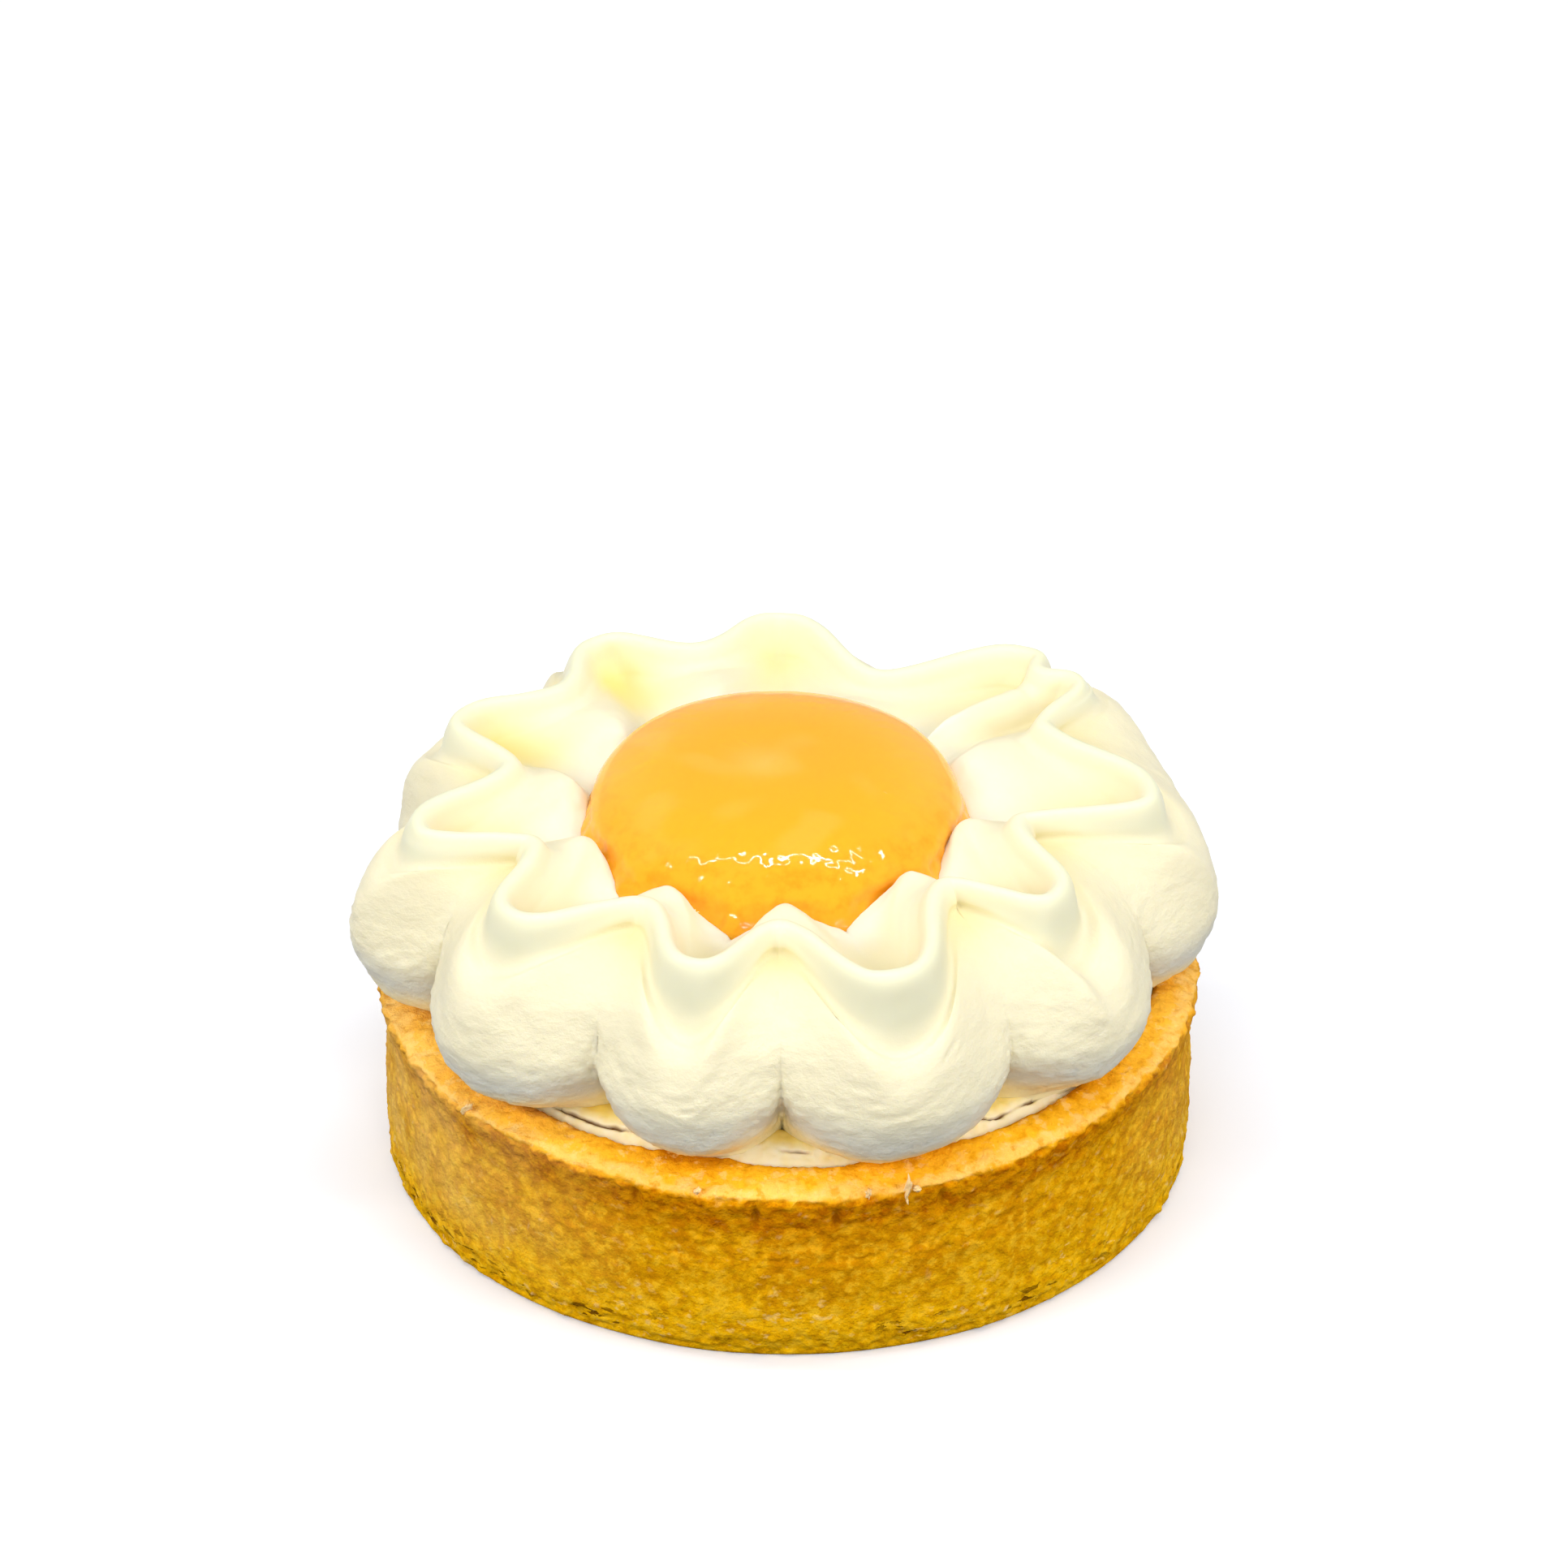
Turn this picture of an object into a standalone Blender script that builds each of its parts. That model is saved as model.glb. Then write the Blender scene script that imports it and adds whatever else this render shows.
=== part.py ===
"""Apple cream cheese tart: pastry crust, cheese filling, piped cream ring and apple jelly.

The tart stands on z = 0 with its middle on the Z axis. The side that the cream's
lowest lobes face is -Y. Every size is in metres.
"""

import math

import bmesh
import bpy
import numpy as np

MM = 0.001

# Gap kept between two pieces that touch on the real tart
CLEARANCE = 0.3 * MM

# Pastry crust
RIM_RADIUS = 40.0 * MM
WALL_RADIUS = 39.2 * MM
RIM_HEIGHT = 19.4 * MM
RIM_DIP = 0.9 * MM
RIM_DIP_SPREAD = math.radians(26.0)
RIM_RISE_INWARD = 1.1 * MM
CRUST_THICKNESS = 4.4 * MM
CRUST_FLOOR = 4.0 * MM
BASE_CORNER = 1.2 * MM
BASE_FLAT_INSET = 9.0 * MM
FLOOR_CORNER = 1.5 * MM
WALL_TAPER = 0.8 * MM
WALL_UNEVENNESS = 0.25 * MM
RIM_UNEVENNESS = 0.22 * MM
CRUST_COLUMNS = 88
SHARP_ANGLE = math.radians(40.0)
WAVE_SHARES = (0.5, 0.3, 0.2)

# Baked cream cheese filling
FILLING_LEVEL = 19.2 * MM
FILLING_RADIUS = RIM_RADIUS - CRUST_THICKNESS - CLEARANCE - 0.1 * MM
FILLING_COLUMNS = 64

# Piped cream ring
CREAM_FOOT = FILLING_LEVEL + CLEARANCE
CREST_HEIGHT = 40.05 * MM
CREST_DIP = 1.1 * MM
CREST_DIP_DIRECTION = math.radians(64.0)
CREST_DIP_SPREAD = math.radians(16.0)
FACE_DROP = 4.7 * MM
FACE_DROP_FRONT = 2.7 * MM
FACE_DROP_LEAST = 3.0 * MM
FACE_DIRECTION = math.radians(285.0)
BELLY_HEIGHT = 26.2 * MM
GROOVE_HEIGHT = 26.8 * MM
GROOVE_REACH = 36.4 * MM
GROOVE_CREASE = 1.4 * MM
THROAT_HEIGHT = 34.4 * MM
THROAT_RISE = 1.2 * MM
CREAM_BORE_RADIUS = 18.7 * MM
CREAM_BORE_TOP = 33.0 * MM
COLUMNS_PER_SIDE = 7

# Apple jelly
JELLY_CENTRE_X = -1.2 * MM
JELLY_HEIGHT = 42.0 * MM
JELLY_RADIUS = CREAM_BORE_RADIUS - CLEARANCE - 0.1 * MM
JELLY_COLUMNS = 96
JELLY_MARGIN = math.radians(2.5)

# Each lobe of the ring: its direction in degrees from +X, how far its crest and its belly reach
# from the middle, the belly's height, and the reach of its inner foot. After it, the turn that
# follows: its direction, the reach of its crest and inner foot, how many degrees the groove
# outside is ahead of it, and the groove's reach. Lengths here are in millimetres.
CREAM_LOBES = (
    (192.5, 35.7, 42.8, 27.8, 18.9, 203.5, 26.2, 18.0, 0.0, 36.4),
    (222.0, 34.4, 41.6, 26.4, 19.8, 238.0, 24.9, 18.0, 2.0, 36.4),
    (255.0, 32.8, 39.8, 26.2, 20.9, 268.0, 25.0, 18.0, 0.9, 36.4),
    (285.5, 35.0, 40.8, 26.2, 20.3, 309.5, 22.9, 17.4, -4.5, 36.4),
    (320.5, 31.6, 40.2, 26.2, 19.6, 343.5, 22.7, 17.2, -2.5, 36.4),
    (357.0, 34.6, 41.6, 26.8, 18.8, 384.5, 27.2, 18.0, -12.5, 40.2),
    (396.5, 35.0, 41.0, 32.8, 18.5, 402.0, 33.4, 18.2, 0.0, 38.4),
    (407.0, 35.8, 40.6, 26.2, 18.5, 430.5, 24.7, 18.0, 0.0, 36.0),
    (452.0, 33.1, 40.4, 26.2, 18.5, 468.0, 28.2, 18.2, 0.0, 36.4),
    (484.0, 33.9, 40.6, 26.2, 18.5, 499.5, 29.0, 18.2, 0.0, 36.4),
    (517.5, 34.6, 41.2, 26.2, 18.6, 532.0, 27.0, 18.1, 0.0, 36.4),
)


def material(name, colour, roughness, metallic=0.0):
    """A Principled material with one colour."""
    made = bpy.data.materials.new(name)
    made.use_nodes = True
    shader = made.node_tree.nodes["Principled BSDF"]
    shader.inputs["Base Color"].default_value = (*colour, 1.0)
    shader.inputs["Roughness"].default_value = roughness
    shader.inputs["Metallic"].default_value = metallic
    return made


def mesh_object(name, rows, loop, made):
    """Joins rows of points, all of one length, into a closed skin of quads.

    rows is an array (rows, columns, 3) and every row runs once round the Z axis. A looped
    skin joins its last row to its first, and any other skin is closed by a flat face there.
    """
    shape = bmesh.new()
    count = rows.shape[0]
    columns = rows.shape[1]
    verts = [[shape.verts.new(point) for point in row] for row in rows]
    last = count if loop else count - 1
    for row in range(last):
        lower = verts[row]
        upper = verts[(row + 1) % count]
        for column in range(columns):
            after = (column + 1) % columns
            shape.faces.new((lower[column], lower[after], upper[after], upper[column]))
    if not loop:
        shape.faces.new(verts[0])
        shape.faces.new(verts[-1])
    bmesh.ops.recalc_face_normals(shape, faces=shape.faces)
    mesh = bpy.data.meshes.new(name)
    shape.to_mesh(mesh)
    shape.free()
    mesh.shade_smooth()
    mesh.set_sharp_from_angle(angle=SHARP_ANGLE)
    mesh.materials.append(made)
    piece = bpy.data.objects.new(name, mesh)
    bpy.context.collection.objects.link(piece)
    return piece


def around(columns):
    """Evenly spaced directions round the Z axis."""
    return np.linspace(0.0, 2.0 * math.pi, columns, endpoint=False)


def turned(radius, height, angle, centre_x=0.0):
    """One row of points: radius and height may be one number or one for each direction."""
    radius = np.broadcast_to(radius, angle.shape)
    height = np.broadcast_to(height, angle.shape)
    return np.stack([centre_x + radius * np.cos(angle), radius * np.sin(angle), height], axis=1)


def unevenness(angle, size, waves, start):
    """A sum of three waves round the tart, no larger than size."""
    total = np.zeros_like(angle)
    for order, share in zip(waves, WAVE_SHARES):
        total += share * np.sin(order * angle + start * order)
    return size * total


def rim_height(angle):
    """Height of the crust's outer edge, which is lowest at the front."""
    from_front = np.abs(np.mod(angle + 1.5 * math.pi, 2.0 * math.pi) - math.pi)
    dip = RIM_DIP * np.exp(-(from_front / RIM_DIP_SPREAD) ** 2)
    return RIM_HEIGHT - dip + unevenness(angle, RIM_UNEVENNESS, (5, 11, 19), 0.7)


def pastry_crust():
    """A cup of pastry: its rim flares, dips at the front and rises towards the inside."""
    angle = around(CRUST_COLUMNS)
    rim = rim_height(angle)
    wave = unevenness(angle, WALL_UNEVENNESS, (4, 9, 17), 1.9)
    outer_inner = RIM_RADIUS - CRUST_THICKNESS
    foot_inner = outer_inner - WALL_TAPER
    rows = [turned(WALL_RADIUS - BASE_FLAT_INSET, 0.0, angle)]
    for step in range(4):
        turn = math.radians(30.0 * step)
        radius = WALL_RADIUS - BASE_CORNER * (1.0 - math.sin(turn))
        rows.append(turned(radius + 0.5 * wave, BASE_CORNER * (1.0 - math.cos(turn)), angle))
    rows.append(turned(WALL_RADIUS + wave, 0.45 * RIM_HEIGHT, angle))
    rows.append(turned(WALL_RADIUS + 0.1 * MM + wave, 0.74 * RIM_HEIGHT, angle))
    rows.append(turned(RIM_RADIUS - 0.15 * MM + 0.5 * wave, rim - 1.4 * MM, angle))
    rows.append(turned(RIM_RADIUS + 0.4 * wave, rim - 0.3 * MM, angle))
    rows.append(turned(RIM_RADIUS - 0.9 * MM + 0.4 * wave, rim + 0.35 * MM, angle))
    rows.append(turned(outer_inner + 1.6 * MM, rim + 0.9 * RIM_RISE_INWARD, angle))
    rows.append(turned(outer_inner + 0.35 * MM, rim + RIM_RISE_INWARD - 0.1 * MM, angle))
    rows.append(turned(outer_inner, rim + RIM_RISE_INWARD - 0.7 * MM, angle))
    rows.append(turned(foot_inner, CRUST_FLOOR + FLOOR_CORNER, angle))
    rows.append(turned(foot_inner - FLOOR_CORNER, CRUST_FLOOR, angle))
    return mesh_object("pastry_crust", np.array(rows), False,
                       material("golden_pastry", (0.60, 0.33, 0.07), 0.75))


def cream_cheese_filling():
    """The baked filling inside the crust, with a rounded edge."""
    angle = around(FILLING_COLUMNS)
    foot_radius = FILLING_RADIUS - WALL_TAPER
    floor = CRUST_FLOOR + CLEARANCE
    rows = [
        turned(foot_radius - 0.3 * MM - FLOOR_CORNER, floor, angle),
        turned(foot_radius - 0.1 * MM, floor + FLOOR_CORNER, angle),
        turned(FILLING_RADIUS - 0.05 * MM, FILLING_LEVEL - 0.5 * MM, angle),
        turned(FILLING_RADIUS - 0.4 * MM, FILLING_LEVEL, angle),
    ]
    return mesh_object("cream_cheese_filling", np.array(rows), False,
                       material("baked_cream_cheese", (0.90, 0.78, 0.48), 0.6))


def ring_columns(per_side):
    """The ring's columns, closer together at the grooves.

    For each: its direction, its phase, half its lobe's angle, then the lobe's four sizes and
    the turn's. The phase runs from -1 at the turn before a lobe, through 0 at its middle, to 1
    at the turn after it.
    """
    share = np.arange(per_side) / per_side * math.pi / 2.0
    columns = []
    for index, (lobe, crest, belly, swell, foot, *after) in enumerate(CREAM_LOBES):
        whole_turn = 360.0 if index == 0 else 0.0
        before = CREAM_LOBES[index - 1][5:]
        sides = ((-np.cos(share), before[0] - whole_turn, before), (np.sin(share), after[0], after))
        for phases, turn, (_, turn_crest, turn_foot, lead, groove) in sides:
            half = abs(turn - lobe)
            for phase in phases:
                columns.append((math.radians(lobe + phase * half), phase, math.radians(half),
                                crest * MM, belly * MM, swell * MM, foot * MM, turn_crest * MM,
                                turn_foot * MM, math.radians(lead), groove * MM))
    return np.array(columns).T


def mix(share, at_turn, at_lobe):
    """The value at a turn where share is 0 and at a lobe's middle where it is 1."""
    return at_turn + (at_lobe - at_turn) * share


def puffed(phase):
    """How far the inside swells: 1 at a turn, and a creased 0 at a lobe's middle."""
    return np.sqrt(np.clip(1.0 - (1.0 - np.abs(phase)) ** 2, 0.0, 1.0))


def whipped_cream_ring():
    """One rope of cream piped in a closed zigzag.

    Each row of the skin follows the whole rope. On the outside the rope bulges at every lobe
    and has a groove at every turn, on the inside the other way round. The rows beside the
    crest keep their distance from it along its own normal. The steep face under the crest
    is tallest at the front, and the rows of a shoulder lie on a quarter of an ellipse from
    the foot of that face to the widest part of a belly.
    """
    columns = ring_columns(COLUMNS_PER_SIDE)
    angle, phase, half, crest_reach, belly, swell, lobe_foot = columns[:7]
    turn_reach, turn_foot, lead, groove = columns[7:]
    outside = angle + lead * phase ** 2
    wave = 0.5 + 0.5 * np.cos(math.pi * phase)
    squarer = 0.6 * np.sin(math.pi / 2.0 * np.cos(math.pi * phase)) + 0.4 * np.cos(math.pi * phase)
    bend = 0.5 + 0.5 * squarer - 0.03 * np.sin(math.pi * phase) ** 2
    bulge = np.clip(1.0 - phase ** 2, 0.0, 1.0) ** 0.68
    reach = mix(bend, turn_reach, crest_reach)

    from_dip = np.mod(angle - CREST_DIP_DIRECTION + math.pi, 2.0 * math.pi) - math.pi
    top = CREST_HEIGHT - CREST_DIP * np.exp(-(from_dip / CREST_DIP_SPREAD) ** 2)
    crest = np.stack([reach * np.cos(angle), reach * np.sin(angle)], axis=1)
    ahead = np.roll(crest, -1, axis=0) - np.roll(crest, 1, axis=0)
    normal = np.stack([ahead[:, 1], -ahead[:, 0]], axis=1)
    normal = normal / np.linalg.norm(normal, axis=1, keepdims=True)
    outward = normal[:, 0] * np.cos(angle) + normal[:, 1] * np.sin(angle)
    sideways = normal[:, 1] * np.cos(angle) - normal[:, 0] * np.sin(angle)

    def beside(offset, drop):
        """A row at a distance from the crest and below it, kept short of the next turn."""
        radius = reach + offset * MM * outward
        shift = offset * MM * sideways / radius
        leaving = shift * phase > 0.0
        room = np.where(leaving, 1.0 - np.abs(phase), np.abs(phase)) * half + 1.0e-6
        return turned(radius, top - drop * MM, angle + shift * room / (room + np.abs(shift)))

    def under(inset, lobe_radius, turn_height, lobe_height):
        """A row of the underside, with a sharp groove at the turns, inset from its widest."""
        return turned(mix(bulge, groove - inset * MM, lobe_radius),
                      mix(wave, turn_height, lobe_height), outside)

    def belly_row(sharp):
        """The belly's widest row, with that share of its outline creased at the turns."""
        return turned(mix(mix(sharp, wave, bulge), groove - GROOVE_CREASE * sharp, belly),
                      mix(wave, ridge, swell), outside)

    def throat_row(sharp):
        """The inner bellies' narrowest row, with that share of it creased at the lobes."""
        narrowed = mix(sharp, 1.0 - wave, puffed(phase))
        return turned(mix(narrowed, lobe_foot, turn_foot),
                      THROAT_HEIGHT + THROAT_RISE * (1.0 - wave), angle, JELLY_CENTRE_X)

    def shoulder(start, goal, degrees):
        """A row on a quarter of an ellipse: it leaves the start level and meets the goal steep."""
        bow = math.radians(degrees)
        return start + (goal - start) * np.array([math.sin(bow), math.sin(bow), 1.0 - math.cos(bow)])

    over_rim = rim_height(angle) + RIM_RISE_INWARD + CLEARANCE
    ridge = GROOVE_HEIGHT + 0.9 * (groove - GROOVE_REACH)
    facing_front = np.clip(np.cos(angle - FACE_DIRECTION), 0.0, 1.0) ** 1.5
    drop = FACE_DROP + FACE_DROP_FRONT * facing_front - 0.4 * (swell - BELLY_HEIGHT)
    drop = np.maximum(drop, FACE_DROP_LEAST) / MM
    wall_foot = beside(mix(wave, 1.3, 2.0), mix(wave, 3.25, drop))
    pocket = beside(-3.4, mix(wave, 1.9, 3.8))
    rows = [
        under(7.0, 33.6 * MM, CREAM_FOOT, CREAM_FOOT),
        under(6.1, 35.4 * MM, CREAM_FOOT + 1.0 * MM, over_rim + 0.1 * MM),
        under(5.1, belly - 3.1 * MM, CREAM_FOOT + 2.3 * MM, over_rim + 0.35 * MM),
        under(3.4, belly - 1.1 * MM, ridge - 2.8 * MM,
              over_rim + 2.2 * MM + 0.9 * (swell - BELLY_HEIGHT)),
        belly_row(0.7),
        shoulder(wall_foot, belly_row(0.3), 72.0),
        shoulder(wall_foot, belly_row(0.05), 54.0),
        shoulder(wall_foot, belly_row(0.0), 36.0),
        shoulder(wall_foot, belly_row(0.0), 17.0),
        wall_foot,
        beside(mix(wave, 1.2, 1.7), mix(wave, 1.9, 0.55 * drop)),
        beside(1.05, mix(wave, 0.95, 1.1)),
        beside(0.6, 0.25),
        beside(0.0, 0.0),
        beside(-0.6, 0.2),
        beside(-1.05, 0.8),
        beside(-1.5, mix(wave, 1.5, 1.9)),
        beside(-2.4, mix(wave, 1.8, 3.1)),
        pocket,
        shoulder(pocket, throat_row(0.2), 22.0),
        shoulder(pocket, throat_row(0.5), 45.0),
        shoulder(pocket, throat_row(0.8), 68.0),
        throat_row(1.0),
        turned(CREAM_BORE_RADIUS, CREAM_BORE_TOP, angle, JELLY_CENTRE_X),
        turned(CREAM_BORE_RADIUS, CREAM_FOOT, angle, JELLY_CENTRE_X),
    ]
    return mesh_object("whipped_cream_ring", np.array(rows), True,
                       material("whipped_cream", (0.94, 0.90, 0.74), 0.45))


def apple_jelly():
    """The set jelly in the ring's middle: a flat-topped dome.

    Its front slopes out between the inner bellies, and its back keeps a round shoulder. A row
    of the profile gives the radius less the plug's at the back and at the front, the drop below
    the top at the back and at the front, and how far the front follows the cream's lobed edge.
    """
    angle = around(JELLY_COLUMNS)
    there, phase, _, _, _, _, lobe_foot, _, turn_foot, _, _ = ring_columns(COLUMNS_PER_SIDE)
    edge = mix(puffed(phase), lobe_foot, turn_foot)
    throat = np.min([np.interp(angle + aside, there, edge, period=2.0 * math.pi)
                     for aside in (-JELLY_MARGIN, 0.0, JELLY_MARGIN)], axis=0)
    lobed = throat - CLEARANCE - 0.15 * MM - JELLY_RADIUS
    narrow = np.minimum(lobed, 0.0)
    front = 0.5 - 0.5 * np.sin(angle)
    front = front * front * (3.0 - 2.0 * front)
    profile = (
        (0.0, 0.0, 9.4, 9.4, 0.0), (0.0, -0.45, 7.8, 7.8, 1.0), (0.0, 0.0, 6.6, 6.8, 1.0),
        (0.0, -0.9, 5.0, 6.2, 0.7), (-0.2, -1.3, 3.9, 4.9, 0.2), (-0.9, -2.8, 2.5, 3.6, 0.0),
        (-2.4, -4.5, 1.5, 2.5, 0.0), (-5.4, -7.3, 0.7, 1.3, 0.0), (-9.6, -10.8, 0.3, 0.5, 0.0),
        (-14.5, -14.5, 0.0, 0.0, 0.0),
    )
    rows = [turned(JELLY_RADIUS, CREAM_FOOT, angle, JELLY_CENTRE_X)]
    for back, fore, drop, fall, share in profile:
        follow = share * (front * lobed + (1.0 - front) * narrow)
        rows.append(turned(JELLY_RADIUS + (back + front * (fore - back)) * MM + follow,
                           JELLY_HEIGHT - (drop + front * (fall - drop)) * MM, angle,
                           JELLY_CENTRE_X))
    return mesh_object("apple_jelly", np.array(rows), False,
                       material("apple_jelly", (0.93, 0.50, 0.07), 0.15))


def main():
    """Clears the scene's objects and models the tart."""
    for old in list(bpy.data.objects):
        bpy.data.objects.remove(old, do_unlink=True)
    pastry_crust()
    cream_cheese_filling()
    whipped_cream_ring()
    apple_jelly()


main()
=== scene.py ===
"""Apple cream cheese tart: crust, baked filling, piped cream ring, jelly and the studio.

Shape functions work in millimetres and in radians from +X. A piece's mesh is in metres.
"""

import itertools
import math

import bpy
import numpy as np
from bpy.props import FloatProperty, FloatVectorProperty, IntProperty, PointerProperty
from mathutils import Matrix, Vector


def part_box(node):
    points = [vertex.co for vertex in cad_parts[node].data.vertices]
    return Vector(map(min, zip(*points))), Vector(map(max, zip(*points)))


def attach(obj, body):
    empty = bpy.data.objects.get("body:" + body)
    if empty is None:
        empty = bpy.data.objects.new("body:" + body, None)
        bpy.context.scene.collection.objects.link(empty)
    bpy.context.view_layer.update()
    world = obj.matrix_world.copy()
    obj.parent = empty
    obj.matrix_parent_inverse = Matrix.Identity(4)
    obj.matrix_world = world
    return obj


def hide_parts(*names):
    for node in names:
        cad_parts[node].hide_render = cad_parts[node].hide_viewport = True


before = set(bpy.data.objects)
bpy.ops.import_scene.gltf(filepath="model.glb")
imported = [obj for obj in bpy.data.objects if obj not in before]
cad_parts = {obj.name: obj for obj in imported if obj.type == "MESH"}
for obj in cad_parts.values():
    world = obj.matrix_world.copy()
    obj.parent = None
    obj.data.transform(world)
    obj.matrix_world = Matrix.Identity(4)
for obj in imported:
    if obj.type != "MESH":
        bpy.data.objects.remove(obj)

bl_info = {
    "name": "Apple Cream Cheese Tart",
    "version": (1, 0, 0),
    "blender": (4, 5, 0),
    "location": "View3D > Sidebar > Tart",
    "description": "Makes the surfaces and finishes of a small fruit and cream tart",
    "category": "Add Mesh",
}

MM = 0.001
TURN = 2.0 * math.pi
CRUST_LOW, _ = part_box("pastry_crust")
CREAM_LOW, CREAM_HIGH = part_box("whipped_cream_ring")
JELLY_LOW, JELLY_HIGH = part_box("apple_jelly")
_, FILLING_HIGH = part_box("cream_cheese_filling")

# Columns of faces round the crust and the filling, and round the jelly.
CRUST_COLUMNS = 960
JELLY_COLUMNS = 600

# The usual height of a belly and the usual reach of the groove beside it.
BELLY_HEIGHT = 26.2
GROOVE_REACH = 36.4

# Each lobe of the ring: its direction in degrees from +X, how far its crest and its belly reach
# from the middle, the belly's height, and the reach of its inner foot. After it, the turn that
# follows: its direction, the reach of its crest and inner foot, how many degrees the groove
# outside is ahead of it, and the groove's reach.
CREAM_LOBES = (
    (192.5, 35.7, 42.8, 27.8, 18.9, 203.5, 26.2, 18.0, 0.0, 36.4),
    (222.0, 34.4, 41.6, 26.4, 19.8, 238.0, 24.9, 18.0, 2.0, 36.4),
    (255.0, 32.8, 39.8, 26.2, 20.9, 268.0, 25.0, 18.0, 0.9, 36.4),
    (285.5, 35.0, 40.8, 26.2, 20.3, 309.5, 22.9, 17.4, -4.5, 36.4),
    (320.5, 31.6, 40.2, 26.2, 19.6, 343.5, 22.7, 17.2, -2.5, 36.4),
    (357.0, 34.6, 41.6, 26.8, 18.8, 384.5, 27.2, 18.0, -12.5, 40.2),
    (396.5, 35.0, 41.0, 32.8, 18.5, 402.0, 33.4, 18.2, 0.0, 38.4),
    (407.0, 35.8, 40.6, 26.2, 18.5, 430.5, 24.7, 18.0, 0.0, 36.0),
    (452.0, 33.1, 40.4, 26.2, 18.5, 468.0, 28.2, 18.2, 0.0, 36.4),
    (484.0, 33.9, 40.6, 26.2, 18.5, 499.5, 29.0, 18.2, 0.0, 36.4),
    (517.5, 34.6, 41.2, 26.2, 18.6, 532.0, 27.0, 18.1, 0.0, 36.4),
)

# Loose shreds on the lip: direction in degrees from +X, half length and how far each leans over.
FLAKES = (
    (220.5, 0.85, 0.5), (257.5, 0.45, 1.3), (280.6, 0.7, 0.4), (286.0, 1.15, -0.2),
    (286.9, 0.6, 1.2),
)

# The picture's side in pixels, where the middle of the tart's foot falls in it, and the
# sensor's width in millimetres.
PICTURE = 1932.0
FOOT_ACROSS, FOOT_DOWN = 971.5, 1388.7
SENSOR = 36.0
WHITE = (1.0, 1.0, 1.0)


def linear(code):
    """An sRGB hex colour as linear red, green and blue."""
    parts = [int(code[i:i + 2], 16) / 255.0 for i in (1, 3, 5)]
    return tuple(c / 12.92 if c <= 0.04045 else ((c + 0.055) / 1.055) ** 2.4 for c in parts)


# Sizes and colours


def size_setting(name, about, default):
    """A length that a user can change."""
    return FloatProperty(name=name, description=about, default=default, unit="LENGTH")


def colour_setting(name, about, code):
    """A colour that a user can change, from its hex code."""
    return FloatVectorProperty(name=name, description=about, default=linear(code),
                               subtype="COLOR", min=0.0, max=1.0)


class CrustSettings(bpy.types.PropertyGroup):
    """Sizes and colours of the pastry."""

    rim_radius: size_setting("Rim radius", "Radius of the lip's outer edge", -CRUST_LOW.y)
    rim_height: size_setting("Rim height", "Height of the lip's edge at the back and sides", 0.0194)
    rim_dip: size_setting("Rim dip", "How much lower the lip is at the front", 0.0009)
    grain: size_setting("Grain", "Height of the crumbs on the wall", 0.00022)
    baked: colour_setting("Baked colour", "Colour of the wall's crumb", "#E8AC08")
    # Browned colour: partly baking, partly painted shade under the lip's overhang.
    browned: colour_setting("Browned colour", "Colour under the lip", "#E49604")
    # The pale colour is painted sheen, where light grazes the sides.
    pale: colour_setting("Pale colour", "Colour of the least baked side", "#F7D080")
    top: colour_setting("Top colour", "Colour of the lip's top", "#FFB724")


class FillingSettings(bpy.types.PropertyGroup):
    """Sizes and colours of the baked cream cheese."""

    radius: size_setting("Radius", "Radius of the filling's edge at its top", FILLING_HIGH.x)
    level: size_setting("Level", "Height of the filling's top", FILLING_HIGH.z)
    cheese: colour_setting("Cheese colour", "Colour of the filling", "#FBE08C")
    skin: colour_setting("Skin colour", "Colour of the dry skin at the edge", "#FFEFCC")


class CreamSettings(bpy.types.PropertyGroup):
    """Sizes and colours of the whipped cream."""

    foot: size_setting("Foot", "Height of the ring's underside", CREAM_LOW.z)
    crest: size_setting("Crest", "Height of the rope's crest", CREAM_HIGH.z)
    bore: size_setting("Bore", "Radius of the hole that the jelly fills", 0.0187)
    columns: IntProperty(
        name="Columns", description="Columns of faces in half a lobe", default=30, min=6)
    body: colour_setting("Cream colour", "Colour of the whipped cream", "#E9E1C1")
    # The hollow colour is painted shade, yellowed by light passing through the cream.
    hollow: colour_setting("Hollow colour", "Colour of the cream in its hollows", "#EBD880")


class JellySettings(bpy.types.PropertyGroup):
    """Sizes and colours of the apple jelly."""

    radius: size_setting("Radius", "Radius of the jelly's side", 0.5 * (JELLY_HIGH.x - JELLY_LOW.x))
    top: size_setting("Top", "Height of the jelly's top", JELLY_HIGH.z)
    centre_x: size_setting("Centre", "How far the jelly's middle is from the tart's, along X",
                           0.5 * (JELLY_HIGH.x + JELLY_LOW.x))
    body: colour_setting("Jelly colour", "Colour of the jelly's top", "#FAA91C")
    deep: colour_setting("Deep colour", "Colour of the jelly's steep sides", "#F89810")


class StageSettings(bpy.types.PropertyGroup):
    """The camera's place and the light's strength."""

    elevation: FloatProperty(
        name="Elevation", description="The camera's height as an angle from the tart's foot",
        default=math.radians(34.0), subtype="ANGLE")
    distance: size_setting("Distance", "From the tart's foot to the camera", 0.6)
    lens: FloatProperty(
        name="Lens", description="Focal length on a 36 mm sensor, in millimetres",
        default=139.16, unit="CAMERA")
    sky: FloatProperty(
        name="Sky", description="Strength of the even light from above", default=0.5)
    ground: FloatProperty(
        name="Ground", description="Strength of the light from straight below", default=0.06)
    key: FloatProperty(
        name="Key", description="Power of the strip over the tart", default=2.2, unit="POWER")
    front: FloatProperty(
        name="Front", description="Power of the three softboxes", default=7.8, unit="POWER")
    floor: colour_setting("Floor colour", "Colour of the floor", "#F5F8FF")


# Noise on arrays of points

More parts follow.
